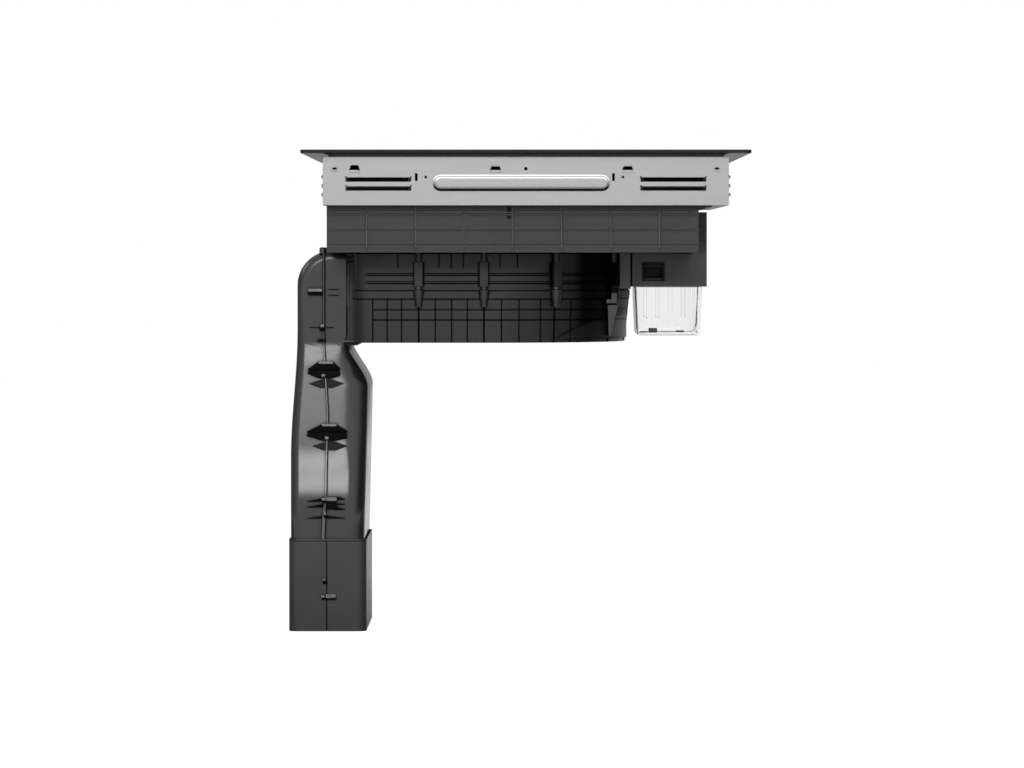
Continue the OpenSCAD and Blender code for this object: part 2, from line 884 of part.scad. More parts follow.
module grease_filter() {
  pitch = (filter_l - 2 * filter_t) / filter_slots;
  color("#c3c4c6")
    translate([0, inlet_y, 0])
      difference() {
        union() {
          translate([0, 0, filter_top - filter_h])
            linear_extrude(filter_h)
              square([filter_w, filter_l], center = true);
          translate([0, 0, filter_top - filter_t])
            linear_extrude(filter_t)
              square([rim_w, rim_l], center = true);
        }
        translate([0, 0, filter_top - filter_h + filter_t])
          linear_extrude(filter_h)
            square([filter_w - 2 * filter_t, filter_l - 2 * filter_t], center = true);
        for (i = [0:filter_slots - 1])
          translate([
            -filter_w / 2 + 4 * filter_t,
            -filter_l / 2 + filter_t + (i + 1 / 4) * pitch,
            filter_top - filter_h - over
          ])
            cube([filter_w - 8 * filter_t, pitch / 2, filter_t + 2 * over]);
      }
}

module inlet_grille() {
  inner_l = grille_l - 2 * grille_bar;
  pitch = inner_l / grille_slots;
  color("#1b1b1c")
    translate([0, inlet_y, grille_bottom])
      linear_extrude(grille_t)
        difference() {
          rounded_rect(grille_w, grille_l, inlet_corner_r - loose);
          for (i = [0:grille_slots - 1])
            translate([0, -inner_l / 2 + (i + 1 / 2) * pitch])
              square([grille_w - 2 * grille_bar, pitch - grille_bar / 2], center = true);
        }
}

// Turns a name's side and end into the place of its coil
module at_coil(sx, sy) {
  translate([sx * coil_x, sy * coil_y, 0])
    children();
}

module coil(sx, sy) {
  color("#b06a35")
    at_coil(sx, sy)
      difference() {
        translate([0, 0, coil_bottom])
          cylinder(r = coil_r, h = coil_t);
        translate([0, 0, coil_bottom - over])
          cylinder(r = coil_hole_r, h = coil_t + 2 * over);
      }
}

module carrier(sx, sy) {
  color("#3a3a3c")
    at_coil(sx, sy)
      difference() {
        translate([0, 0, carrier_bottom])
          cylinder(r = coil_r, h = carrier_t);
        translate([0, 0, carrier_bottom - over])
          cylinder(r = sensor_r + press_gap, h = carrier_t + 2 * over);
        for (a = [0:45:315])
          rotate([0, 0, a])
            translate([coil_hole_r, -sensor_r / 2, carrier_bottom - over])
              cube([coil_r / 2, sensor_r, carrier_t / 2 + over]);
      }
}

module temperature_sensors() {
  color("#d8d6cf")
    for (sx = [-1, 1], sy = [-1, 1])
      at_coil(sx, sy)
        translate([0, 0, carrier_bottom])
          cylinder(r = sensor_r, h = -carrier_bottom - seat_gap);
}

module coil_plate(side) {
  color("#a9abae")
    translate([side * coil_x, 0, plate_bottom])
      linear_extrude(coil_plate_t)
        difference() {
          square([coil_plate_w, coil_plate_l], center = true);
          for (sy = [-1, 1])
            translate([0, sy * coil_y])
              circle(sensor_r / 2);
        }
}

module plate_posts() {
  color("#8f9194")
    for (side = [-1, 1], sx = [-1, 1], sy = [-1, 1])
      translate([
        side * coil_x + sx * (coil_plate_w / 2 - post_r) * post_share,
        sy * (coil_plate_l / 2 - post_r) * post_share,
        floor_top
      ])
        cylinder(r = post_r, h = plate_bottom - floor_top);
}

module power_board(side) {
  color("#2f6b3f")
    translate([side * coil_x, board_y, board_top - board_t])
      union() {
        linear_extrude(board_t)
          square([board_w - 4 * post_r, board_l], center = true);
        for (i = [-1, 1])
          translate([side * board_w / 4, i * board_l / 3, board_t / 2])
            cylinder(r = 3 * post_r, h = sink_h);
      }
}

module board_standoffs() {
  color("#c9b26a")
    for (side = [-1, 1], sx = [-1, 1], sy = [-1, 1])
      translate([
        side * coil_x + sx * (board_w / 2 - 4 * post_r) * post_share,
        board_y + sy * (board_l / 2 - 2 * post_r) * post_share,
        floor_top
      ])
        cylinder(r = post_r, h = standoff_h);
}

module heat_sink(side) {
  color("#9b9da0")
    translate([side * (coil_x - board_w / 6), board_y, board_top])
      union() {
        linear_extrude(3 * fin_t)
          square([sink_w, sink_l], center = true);
        for (i = [0:sink_fins - 1])
          translate([-sink_w / 2 + i * (sink_w - fin_t) / (sink_fins - 1), -sink_l / 2, 0])
            cube([fin_t, sink_l, sink_h]);
      }
}

// The cooling fan lies in the rear of the left bay and blows forwards
module at_cooler() {
  translate([-coil_x, cooler_y, floor_top])
    children();
}

module cooling_fan_housing() {
  color("#1d1d1f")
    at_cooler()
      union() {
        difference() {
          linear_extrude(cooler_h)
            square([cooler_side, cooler_side], center = true);
          translate([0, 0, cooler_t])
            cylinder(r = cooler_bore_r, h = cooler_h - 2 * cooler_t);
          translate([-cooler_side / 4, -cooler_side / 2 - over, cooler_t])
            cube([cooler_side / 2, cooler_side / 2, cooler_h - 2 * cooler_t]);
          translate([0, 0, cooler_h - 2 * cooler_t])
            cylinder(r = cooler_hole_r, h = 2 * cooler_t + over);
        }
        cylinder(r = cooler_pin_r, h = cooler_h / 2);
      }
}

module cooling_fan_rotor() {
  hub_r = cooler_pin_r * 4;
  low = 2 * cooler_t;
  wheel_h = cooler_h - 4 * cooler_t - low / 2;
  color("#2c2c2e")
    at_cooler()
      difference() {
        union() {
          translate([0, 0, low])
            cylinder(r = cooler_wheel_r, h = cooler_t);
          translate([0, 0, low])
            cylinder(r = hub_r, h = wheel_h);
          translate([0, 0, low])
            linear_extrude(wheel_h)
              for (i = [0:cooler_blades - 1])
                rotate([0, 0, i * 360 / cooler_blades])
                  translate([cooler_wheel_r * 3 / 4, 0])
                    rotate([0, 0, -20])
                      square([cooler_wheel_r / 5, cooler_t], center = false);
        }
        translate([0, 0, low - over])
          cylinder(r = cooler_pin_r + cooler_running, h = cooler_h / 2 - low + over + seat_gap);
      }
}

module touch_board() {
  pitch = touch_l / touch_pads;
  color("#245d38")
    translate([0, touch_y, 0])
      union() {
        translate([0, 0, touch_board_top - board_t])
          linear_extrude(board_t)
            square([touch_l, touch_w], center = true);
        for (i = [0:touch_pads - 1])
          translate([-touch_l / 2 + (i + 1 / 2) * pitch, 0, touch_board_top - board_t / 2])
            cylinder(r = pad_r, h = -touch_board_top + board_t / 2 - seat_gap);
      }
}

module touch_carrier() {
  low = touch_board_top - board_t - touch_carrier_t;
  color("#3d3d40")
    translate([0, touch_y, 0])
      union() {
        translate([0, 0, low])
          linear_extrude(touch_carrier_t)
            square([touch_l, touch_w], center = true);
        for (s = [-1, 1])
          translate([s * (touch_l / 2 - post_r), 0, floor_top])
            cylinder(r = post_r, h = low - floor_top + touch_carrier_t / 2);
      }
}

module terminal_block() {
  block_l = 5 * cable_r;
  block_w = 4 * cable_r;
  color("#d9d7d0")
    translate([casing_side - casing_lip - block_l, gland_y - 5 * gland_r, floor_top])
      difference() {
        cube([block_l, block_w, block_w]);
        for (i = [0:2])
          translate([(i + 1 / 2) * block_l / 3, -over, block_w / 2])
            rotate([-90, 0, 0])
              cylinder(r = cable_r / 2, h = block_w + 2 * over);
      }
}

module cable_gland() {
  color("#202022")
    translate([casing_side, gland_y, gland_z])
      rotate([0, 90, 0])
        difference() {
          union() {
            translate([0, 0, -gland_in])
              cylinder(r = gland_thread_r, h = gland_in + gland_out / 2);
            cylinder(r = gland_r, h = gland_out / 2, $fn = 6);
            translate([0, 0, gland_out / 2])
              cylinder(r = gland_thread_r, h = gland_out / 2);
            translate([0, 0, -gland_in])
              cylinder(r = gland_r, h = gland_in - sheet_t, $fn = 6);
          }
          translate([0, 0, -gland_in - over])
            cylinder(r = cable_r, h = gland_in + gland_out + 2 * over);
        }
}

// Ribs on the outside of the tray's walls
module tray_ribs() {
  for (share = tray_rib_levels) {
    z = flange_bottom - share * (flange_bottom - tray_bottom) - tray_rib_t / 2;
    difference() {
      span_box(
        [-tray_side - tray_rib_out, tray_front - tray_rib_out, z],
        [tray_side + tray_rib_out, tray_rear, z + tray_rib_t]
      );
      span_box(
        [-tray_side + tray_t / 2, tray_front + tray_t / 2, z - over],
        [tray_side - tray_t / 2, tray_rear + over, z + tray_rib_t + over]
      );
    }
  }
  for (m = [0, 1], i = [0:6]) {
    y = tray_rear - first_rib_share * (tray_rear - tray_front) - i * tray_rib_step - tray_rib_t / 2;
    mirror([m, 0, 0])
      span_box(
        [-tray_side - tray_rib_out, y, tray_bottom],
        [-tray_side + tray_t / 2, y + tray_rib_t, flange_bottom]
      );
  }
}

module lower_tray() {
  color("#46474a")
    difference() {
      union() {
        difference() {
          tray_body();
          tray_space();
          tray_notch(0);
        }
        difference() {
          tray_notch(tray_t);
          tray_notch(0);
          span_box([-glass_w, tray_rear, tray_bottom - over], [glass_w, glass_w, tray_top]);
          span_box([-glass_w, -glass_w, tray_bottom - over], [glass_w, glass_w, tray_bottom]);
        }
        for (place = tray_screw_places())
          translate([place.x, place.y, tray_floor - tray_t / 2])
            cylinder(r = boss_r, h = tray_top - tray_floor + tray_t / 2);
        for (place = boss_places())
          translate([place.x, place.y, housing_top - boss_drop])
            cylinder(r = boss_tip_r, h = boss_drop + housing_gap + tray_t / 2);
      }
      tray_holes();
    }
}

// The tray's outer form with its bulge, flange and ribs
module tray_body() {
  span_box(
    [-tray_side, tray_front, tray_bottom],
    [tray_side, tray_rear, flange_bottom + tray_flange_t / 2]
  );
  span_box([-bulge_half, bulge_front, tray_bottom], [bulge_half, tray_front + over, bulge_top]);
  translate([0, (tray_rear + bulge_front) / 2, flange_bottom])
    linear_extrude(tray_flange_t)
      rounded_rect(2 * (tray_side + 2 * tray_rib_out), tray_rear - bulge_front, flange_corner_r);
  tray_ribs();
}

// The space inside the tray and its bulge
module tray_space() {
  span_box(
    [-tray_side + tray_t, tray_front + tray_t, tray_floor],
    [tray_side - tray_t, tray_rear - tray_t, tray_top + over]
  );
  span_box(
    [-bulge_half + tray_t, bulge_front + tray_t, tray_floor],
    [bulge_half - tray_t, tray_front + 2 * tray_t, bulge_top - tray_t]
  );
}

// The notch over the duct's mouth, grown by a wall
module tray_notch(wall) {
  span_box(
    [-notch_half - wall, notch_front - wall, tray_bottom - over],
    [notch_half + wall, tray_rear + over, tray_bottom + notch_rise + wall]
  );
}

// Holes in the tray's floor and bosses
module tray_holes() {
  translate([0, fan_y, tray_bottom - over])
    cylinder(r = throat_r + throat_t + seat_gap, h = tray_t + 2 * over);
  translate([0, holder_mid, tray_bottom - over])
    cylinder(r = drain_r, h = tray_t + 2 * over);
  for (place = boss_places())
    translate([place.x, place.y, housing_top - boss_drop - over])
      cylinder(r = screw_r + press_gap, h = boss_drop + over);
  for (place = holder_screw_places())
    translate([place.x, place.y, tray_bottom - over])
      cylinder(r = screw_hole_r, h = tray_t + 2 * over);
  for (place = tray_screw_places())
    translate([place.x, place.y, tray_top - tray_screw_l])
      cylinder(r = screw_r + press_gap, h = tray_screw_l + over);
}

// Four places where the tray is screwed to the casing's floor
function tray_screw_places() = [
  for (sx = [-1, 1], sy = [-1, 1])
    [
      sx * (tray_side - 3 * tray_t),
      (tray_front + tray_rear) / 2 + sy * (tray_rear - tray_front - 6 * tray_t) / 2
    ]
];

module tray_screws() {
  color("#8c8e91")
    for (place = tray_screw_places())
      translate([place.x, place.y, floor_top])
        screw_down(sheet_t + tray_screw_l - over);
}

// Places of the four screws between tray and tank holder
function holder_screw_places() = [
  for (sx = [-1, 1], sy = [-1, 1])
    [sx * holder_screw_x, holder_mid + sy * holder_screw_y]
];

module fan_control_board() {
  color("#2a5f8a")
    translate([tray_side - tray_t - touch_l / 4, tray_front + touch_l / 4, tray_floor])
      union() {
        linear_extrude(board_t)
          square([touch_l / 3, touch_l / 4], center = true);
        cylinder(r = 2 * post_r, h = 4 * post_r);
      }
}

module tank_holder() {
  color("#3b3b3d")
    difference() {
      span_box([-bulge_half, holder_front, holder_bottom], [bulge_half, holder_rear, holder_top]);
      span_box(
        [-bulge_half + holder_t, holder_front + holder_t, holder_bottom - over],
        [bulge_half - holder_t, holder_rear - holder_t, shelf_bottom]
      );
      difference() {
        span_box(
          [-bulge_half + holder_t, holder_front + holder_t, shelf_top],
          [bulge_half - holder_t, holder_rear - holder_t, holder_top - holder_t]
        );
        for (place = holder_screw_places())
          translate([place.x, place.y, shelf_top - over])
            cylinder(r = boss_tip_r, h = chamber_h + 2 * over);
      }
      span_box(
        [-bulge_half + shelf_band, holder_front + shelf_band, shelf_bottom - over],
        [bulge_half - shelf_band, holder_rear - shelf_band, shelf_top + over]
      );
      translate([0, holder_mid, holder_top - holder_t - over])
        cylinder(r = drain_r, h = holder_t + 2 * over);
      for (place = holder_screw_places())
        translate([place.x, place.y, shelf_bottom + holder_t / 2])
          cylinder(r = screw_r + press_gap, h = chamber_h + 3 * holder_t);
      span_box(
        [-bulge_half - over, hook_y - hole_window_w / 2, hole_window_top - hole_window_h],
        [bulge_half + over, hook_y + hole_window_w / 2, hole_window_top]
      );
    }
}

module tank_screws() {
  color("#8c8e91")
    for (place = holder_screw_places())
      translate([place.x, place.y, tray_floor])
        screw_down(tray_t + holder_t + chamber_h);
}

module tank_seal() {
  color("#141414")
    translate([0, tank_mid, tank_top])
      linear_extrude(seal_t)
        rect_ring(2 * tank_half, tank_d, tank_corner_r, shelf_band / 3);
}

module overflow_tank() {
  color("#dfe5e8", 0.35)
    translate([0, tank_mid, 0])
      difference() {
        union() {
          translate([0, 0, tank_bottom])
            linear_extrude(tank_top - tank_bottom)
              rounded_rect(2 * tank_half, tank_d, tank_corner_r);
          translate([-collar_half, -holder_d / 2 - tank_shift + holder_t + loose, collar_z])
            cube([
              2 * collar_half,
              holder_d - 2 * (holder_t + loose),
              collar_t
            ]);
          for (s = [-1, 1])
            translate([
              s * (collar_half - hook_t / 2) - hook_t / 2,
              hook_y - tank_mid - hook_w / 2,
              collar_z
            ])
              cube([hook_t, hook_w, tank_top - collar_z]);
        }
        translate([0, 0, tank_bottom + tank_t])
          linear_extrude(tank_top - tank_bottom)
            rounded_rect(2 * (tank_half - tank_t), tank_d - 2 * tank_t, tank_corner_r / 2);
      }
}

// Radius of the spiral wall at an angle from +X
function spiral_r(a) = tongue_r + (spiral_end_r - tongue_r) * (tongue_angle - a) / (tongue_angle + 180);

// Outline of the fan housing seen from above, grown outwards
function housing_outline(grow) = concat(
  [
    for (k = [0:48])
      let (a = tongue_angle - (tongue_angle + 180) * k / 48)
      [0, fan_y] + (spiral_r(a) + grow) * [cos(a), sin(a)]
  ],
  [
    for (a = [180:-15:90])
      [-spiral_end_r + housing_corner_r, housing_rear_y - housing_corner_r]
        + (housing_corner_r + grow) * [cos(a), sin(a)]
  ],
  [
    [tongue_r * cos(tongue_angle) + grow, housing_rear_y + grow]
  ]
);

// Angle from +X of the near wall's point at a distance behind the fan's axis, for a radius there
function near_angle(y, r) = -180 - asin(y / r);

// X of the near wall at a distance behind the fan's axis
function near_wall_x(y) =
  let (a = near_angle(y, spiral_r(near_angle(y, spiral_end_r))))
  y > 0 ? -spiral_end_r : spiral_r(a) * cos(a);

// Places of the screw bosses round the housing
function boss_places() = concat(
  [
    for (share = wall_boss_shares)
      [-spiral_end_r - boss_off, fan_y + share * housing_rear]
  ],
  [
    for (a = spiral_boss_angles)
      [0, fan_y] + (spiral_r(a) + boss_off) * [cos(a), sin(a)]
  ]
);

// A flat band round the housing's outside, left out behind the spigot
module housing_band(z, t, out) {
  translate([0, 0, z])
    linear_extrude(t)
      difference() {
        polygon(housing_outline(out));
        polygon(housing_outline(-housing_t / 2));
        translate([-notch_half, housing_rear_y])
          square([2 * notch_half, out + over]);
      }
}

// Upright ribs on the near wall
module near_ribs(shares, low, high) {
  for (share = shares) {
    x = near_wall_x(share * housing_rear);
    y = fan_y + share * housing_rear;
    span_box([x - rib_out, y - rib_t / 2, low], [x + (housing_t + rib_out) / 2, y + rib_t / 2, high]);
  }
}

// The outlet spigot between two levels
module spigot(low, high, inset) {
  span_box(
    [-spigot_half + inset, housing_rear_y - housing_t - inset, low],
    [spigot_half - inset, housing_rear_y + spigot_l + inset, high]
  );
}

module fan_housing_upper() {
  color("#323234")
    difference() {
      union() {
        translate([0, 0, parting])
          linear_extrude(upper_h)
            polygon(housing_outline(0));
        housing_band(parting, rib_flange_t, rib_flange_out);
        for (share = upper_rib_shares)
          housing_band(housing_top - share * upper_h - rib_t / 2, rib_t, rib_out);
        near_ribs(upper_tick_shares, housing_top - tick_h, housing_top);
        for (place = boss_places())
          translate([place.x, place.y, parting])
            cylinder(r = boss_r, h = upper_h - boss_drop);
        spigot(parting, spigot_top, 0);
      }
      translate([0, 0, parting - over])
        linear_extrude(upper_h - housing_t + over)
          polygon(housing_outline(-housing_t));
      spigot(parting - over, spigot_top - housing_t, housing_t);
      translate([0, fan_y, housing_top - housing_t - over])
        cylinder(r = throat_r + throat_t + seat_gap, h = housing_t + 2 * over);
      for (place = boss_places())
        translate([place.x, place.y, parting - over])
          cylinder(r = screw_hole_r, h = upper_h + over);
    }
}

// What the lean of the front wall takes off below the ribs' top line
module front_wedge(inset) {
  lean = atan(front_draft / lower_h);
  front = spiral_r(-90);
  translate([0, fan_y - front + inset, parting - housing_t])
    rotate([lean, 0, 0])
      translate([-front, -front, -2 * lower_h])
        cube([2 * front, front, 2 * lower_h]);
}

module fan_housing_lower() {
  color("#323234")
    difference() {
      union() {
        difference() {
          union() {
            translate([0, 0, housing_bottom])
              linear_extrude(lower_h)
                polygon(housing_outline(0));
            for (share = lower_rib_shares)
              housing_band(parting - share * lower_h - rib_t / 2, rib_t, rib_out);
          }
          front_wedge(0);
        }
        near_ribs(lower_upright_shares, housing_bottom, parting - lower_rib_shares[0] * lower_h);
        housing_band(parting - rib_flange_t, rib_flange_t, rib_flange_out);
        for (place = boss_places())
          translate([place.x, place.y, parting - boss_cone_h])
            cylinder(r1 = boss_tip_r, r2 = boss_r, h = boss_cone_h);
        spigot(spigot_bottom, parting, 0);
      }
      difference() {
        translate([0, 0, motor_floor])
          linear_extrude(lower_h)
            polygon(housing_outline(-housing_t));
        front_wedge(housing_t);
      }
      spigot(spigot_bottom + housing_t, parting + over, housing_t);
      for (place = boss_places())
        translate([place.x, place.y, parting - boss_cone_h - over])
          cylinder(r = screw_hole_r, h = boss_cone_h + 2 * over);
      for (a = [30:120:270])
        translate([0, fan_y, housing_bottom - over])
          rotate([0, 0, a])
            translate([motor_screw_r, 0, 0])
              cylinder(r = screw_r + press_gap, h = housing_t + 2 * over);
    }
}

module housing_screws() {
  color("#8c8e91")
    for (place = boss_places())
      translate([place.x, place.y, parting - boss_cone_h])
        mirror([0, 0, 1])
          screw_down(boss_cone_h + upper_h - housing_gap);
}

module inlet_ring() {
  color("#2e2e30")
    translate([0, fan_y, 0])
      rotate_extrude()
        polygon([
          [throat_r, housing_top - 2 * housing_t],
          [throat_r + throat_t, housing_top - 2 * housing_t],
          [throat_r + throat_t, housing_top],
          [throat_r + throat_flange, housing_top],
          [throat_r + throat_flange, tray_bottom],
          [throat_r + throat_t, tray_bottom],
          [throat_r + throat_t, tray_floor],
          [throat_r + throat_t / 2, tray_floor]
        ]);
}

// One forward-curved blade, as an arc of a ring
module blade_outline() {
  lean = 24;
  steps = 5;
  first_r = impeller_in_r + blade_t;
  run = blade_d - 2 * blade_t;
  polygon(concat(
    [
      for (k = [0:steps])
        let (r = first_r + run * k / steps, a = lean * pow(k / steps, 2))
        r * [cos(a), sin(a)]
    ],
    [
      for (k = [steps:-1:0])
        let (r = first_r + run * k / steps, a = lean * pow(k / steps, 2) + blade_t / r * 180 / PI)
        r * [cos(a), sin(a)]
    ]
  ));
}

module fan_impeller() {
  dome_top = rotor_top + impeller_t;
  color("#39393b")
    translate([0, fan_y, 0])
      union() {
        translate([0, 0, impeller_top - impeller_t])
          linear_extrude(impeller_t)
            difference() {
              circle(impeller_r);
              circle(impeller_in_r);
            }
        translate([0, 0, impeller_bottom - impeller_t / 2])
          linear_extrude(blade_h + impeller_t)
            for (i = [0:blades - 1])
              rotate([0, 0, i * 360 / blades])
                blade_outline();
        rotate_extrude()
          polygon([
            [dome_r, impeller_bottom - impeller_t],
            [impeller_r, impeller_bottom - impeller_t],
            [impeller_r, impeller_bottom],
            [dome_r + impeller_t, impeller_bottom],
            [dome_r + impeller_t, dome_top],
            [hub_r + seat_gap, dome_top],
            [hub_r + seat_gap, rotor_top],
            [dome_r, rotor_top]
          ]);
      }
}

module motor_rotor() {
  color("#77797c")
    translate([0, fan_y, 0])
      rotate_extrude()
        polygon([
          [rotor_r - rotor_t, rotor_bottom],
          [rotor_r, rotor_bottom],
          [rotor_r, rotor_top],
          [hub_r, rotor_top],
          [hub_r, rotor_top + 2 * rotor_t],
          [shaft_r + press_gap, rotor_top + 2 * rotor_t],
          [shaft_r + press_gap, rotor_top - rotor_t],
          [rotor_r - rotor_t, rotor_top - rotor_t]
        ]);
}

module motor_shaft() {
  color("#c6c8ca")
    translate([0, fan_y, bracket_top + seat_gap])
      cylinder(r = shaft_r, h = rotor_top + 3 * rotor_t - bracket_top - seat_gap);
}

module motor_stator() {
  color("#8a4f2a")
    translate([0, fan_y, stator_bottom])
      difference() {
        cylinder(r = stator_r, h = stator_top - stator_bottom);
        translate([0, 0, -over])
          cylinder(r = tube_r + stator_gap, h = stator_top - stator_bottom + 2 * over);
        for (i = [0:8])
          rotate([0, 0, i * 40])
            translate([stator_r * 3 / 4, -rotor_t / 2, -over])
              cube([stator_r / 2, rotor_t, stator_top - stator_bottom + 2 * over]);
      }
}

module bearing(z) {
  color("#b9bbbd")
    translate([0, fan_y, z])
      difference() {
        cylinder(r = bearing_r, h = bearing_h);
        translate([0, 0, -over])
          cylinder(r = bearing_bore_r, h = bearing_h + 2 * over);
      }
}

module motor_bracket() {
  seat_r = bearing_r + press_gap;
  bore_r = bearing_r - 2 * loose;
  color("#5a5c5f")
    translate([0, fan_y, 0])
      difference() {
        union() {
          rotate_extrude()
            polygon([
              [0, motor_floor],
              [rotor_r, motor_floor],
              [rotor_r, bracket_top],
              [tube_r, bracket_top],
              [tube_r, tube_top],
              [seat_r, tube_top],
              [seat_r, tube_top - bearing_h],
              [bore_r, tube_top - bearing_h],
              [bore_r, bracket_top + bearing_h],
              [seat_r, bracket_top + bearing_h],
              [seat_r, bracket_top],
              [0, bracket_top]
            ]);
          for (a = [30:120:270])
            rotate([0, 0, a])
              translate([rotor_r / 2, -arm_w / 2, motor_floor])
                cube([arm_r - rotor_r / 2, arm_w, bracket_t]);
        }
        for (a = [30:120:270])
          rotate([0, 0, a])
            translate([motor_screw_r, 0, motor_floor - over])
              cylinder(r = screw_hole_r, h = bracket_t + 2 * over);
      }
}

module motor_screws() {
  color("#8c8e91")
    for (a = [30:120:270])
      translate([0, fan_y, bracket_top])
        rotate([0, 0, a])
          translate([motor_screw_r, 0, 0])
            screw_down(bracket_t + housing_t);
}

// The ribbed rubber collar round the spigot, in front of the duct's mouth
module duct_joint_seal() {
  seal_l = collar_gap - 2 * seat_gap;
  color("#161616")
    difference() {
      union() {
        for (i = [0:2])
          span_box(
            [-elbow_half + duct_t, housing_rear_y + seat_gap + i * seal_l / 3, mouth_bottom + duct_t],
            [elbow_half - duct_t, housing_rear_y + seat_gap + (i + 1 / 2) * seal_l / 3, seal_top]
          );
        span_box(
          [-elbow_half + 1.5 * duct_t, housing_rear_y + seat_gap, mouth_bottom + 1.5 * duct_t],
          [elbow_half - 1.5 * duct_t, mouth_y - seat_gap, seal_top - duct_t / 2]
        );
      }
      span_box(
        [-spigot_half - seat_gap, housing_rear_y - over, spigot_bottom - seat_gap],
        [spigot_half + seat_gap, mouth_y + over, spigot_top + seat_gap]
      );
    }
}

// Rises smoothly from 0 to 1
function ease(t) = let (u = min(max(t, 0), 1)) u * u * (3 - 2 * u);

// Y of the duct's rear wall at a level below the elbow
function lean_rear(z) = elbow_rear + rear_lean * ease((lean_top - z) / lean_h);

// Y of the duct's front wall at a level below the mouth
function lean_front(z) =
  z > knee_z
    ? mouth_y - (mouth_y - knee_y) * ease((shoulder_top - z) / shoulder_h)
    : knee_y + front_lean * min(1, (knee_z - z) / (knee_z - sleeve_top));

// Half width of the duct at a level
function half_width(z) = elbow_half + (duct_half - elbow_half) * ease((mouth_bottom - z) / (2 * duct_d));

// A cross-section of the duct: its front point, its rear point and its half width
elbow_turns = [0, 18, 36, 54, 72, 90];
elbow_steps = len(elbow_turns);
inner_drop = 0.7;
level_shares = [0.04, 0.08, 0.12, 0.16, 0.22, 0.3, 0.42, 0.56, 0.75, 1];
duct_sections = concat(
  [
    [[mouth_y, mouth_bottom], [mouth_y, roof_z], elbow_half]
  ],
  [
    for (i = [0:elbow_steps - 1])
      let (a = 90 - elbow_turns[i])
      [
        [mouth_y, mouth_bottom - (i + 1) * inner_drop],
        [mouth_y + elbow_run, elbow_low] + elbow_r * [cos(a), sin(a)],
        elbow_half
      ]
  ],
  [
    for (share = level_shares)
      let (
        z = mouth_bottom - share * (mouth_bottom - duct_bottom),
        rise = max(0, (1 - share / level_shares[2])) * (elbow_low - mouth_bottom) / 2
      )
      [[lean_front(z), z], [lean_rear(z + rise), z + rise], half_width(z)]
  ]
);

// Points of a rounded cross-section, drawn in by an inset
function section_ring(s, inset) =
  let (
    along = (s[1] - s[0]) / norm(s[1] - s[0]),
    low = s[0] + inset * along,
    depth = norm(s[1] - s[0]) - 2 * inset,
    half = s[2] - inset,
    r = duct_corner_r - inset / 2
  )
  [
    for (q = [0:3], k = [0:3])
      let (
        a = 90 * q + 30 * k,
        x = (q == 0 || q == 3 ? 1 : -1) * (half - r) + r * cos(a),
        d = (q < 2 ? depth - r : r) + r * sin(a),
        p = low + d * along
      )
      [x, p.x, p.y]
  ];

// A closed tube through the cross-sections, between two insets
module duct_tube(outer, inner) {
  n = 16;
  last = len(duct_sections) - 1;
  points = [
    for (s = duct_sections)
      each concat(section_ring(s, outer), section_ring(s, inner))
  ];
  faces = [
    for (i = [0:last - 1], k = [0:n - 1])
      let (a = 2 * n * i, b = 2 * n * (i + 1), m = (k + 1) % n)
      each [
        [a + k, a + m, b + m, b + k],
        [a + n + k, b + n + k, b + n + m, a + n + m]
      ],
    for (k = [0:n - 1])
      let (m = (k + 1) % n, e = 2 * n * last)
      each [
        [k, n + k, n + m, m],
        [e + k, e + m, e + n + m, e + n + k]
      ]
  ];
  polyhedron(points = points, faces = faces);
}

// The seam's flange, drawn as a band round the duct's sides and roof
module seam_band(t) {
  levels = [for (i = [0:12]) roof_z - i * (roof_z - sleeve_top - seam_end_gap) / 12];
  out = seam_proud / 2;
  side = concat(
    [[elbow_half + out, roof_z + seam_proud]],
    [for (z = levels) [half_width(z) + out, z]]
  );
  inner = concat(
    [[elbow_half - duct_corner_r, roof_z - duct_t / 2], [elbow_half - duct_t / 2, roof_z - duct_corner_r]],
    [for (i = [2:12]) [half_width(levels[i]) - duct_t / 2, levels[i]]]
  );
  rotate([90, 0, 0])
    linear_extrude(t)
      polygon(concat(
        side,
        [for (i = [len(inner) - 1:-1:0]) inner[i]],
        [for (p = inner) [-p.x, p.y]],
        [for (i = [len(side) - 1:-1:0]) [-side[i].x, side[i].y]]
      ));
}

// The barrels of the clips on both narrow faces, on one side of the seam
module clip_barrels(s) {
  for (share = clip_shares, sx = [-1, 1])
    translate([sx * (half_width(roof_z - share * duct_l) + clip_r / 2), seam_y, roof_z - share * duct_l])
      rotate([-90 * s, 0, 0])
        cylinder(r = clip_r, h = clip_l / 2);
}

module duct_front_shell() {
  color("#2f2f31")
    union() {
      intersection() {
        duct_tube(0, duct_t);
        span_box([-shell_reach, 0, duct_bottom - over], [shell_reach, seam_y, 0]);
      }
      clip_barrels(-1);
    }
}

module duct_rear_shell() {
  color("#343436")
    union() {
      intersection() {
        duct_tube(0, duct_t);
        span_box([-shell_reach, seam_y, duct_bottom - over], [shell_reach, shell_rear, 0]);
      }
      intersection() {
        translate([0, seam_y + seam_t / 2, 0])
          seam_band(seam_t / 2);
        span_box([-shell_reach, seam_y, duct_bottom - over], [shell_reach, shell_rear, 0]);
      }
      clip_barrels(1);
    }
}

// The sleeve's full tube
module sleeve_tube() {
  translate([0, (sleeve_front + sleeve_rear) / 2, sleeve_bottom])
    linear_extrude(sleeve_h)
      rect_ring(2 * sleeve_half, sleeve_d, sleeve_corner_r, sleeve_t);
}

module sleeve_clips(s) {
  for (sx = [-1, 1])
    translate([sx * (sleeve_half + clip_r / 2), seam_y, (sleeve_top + 2 * sleeve_bottom) / 3])
      rotate([-90 * s, 0, 0])
        cylinder(r = clip_r, h = clip_l / 2);
}

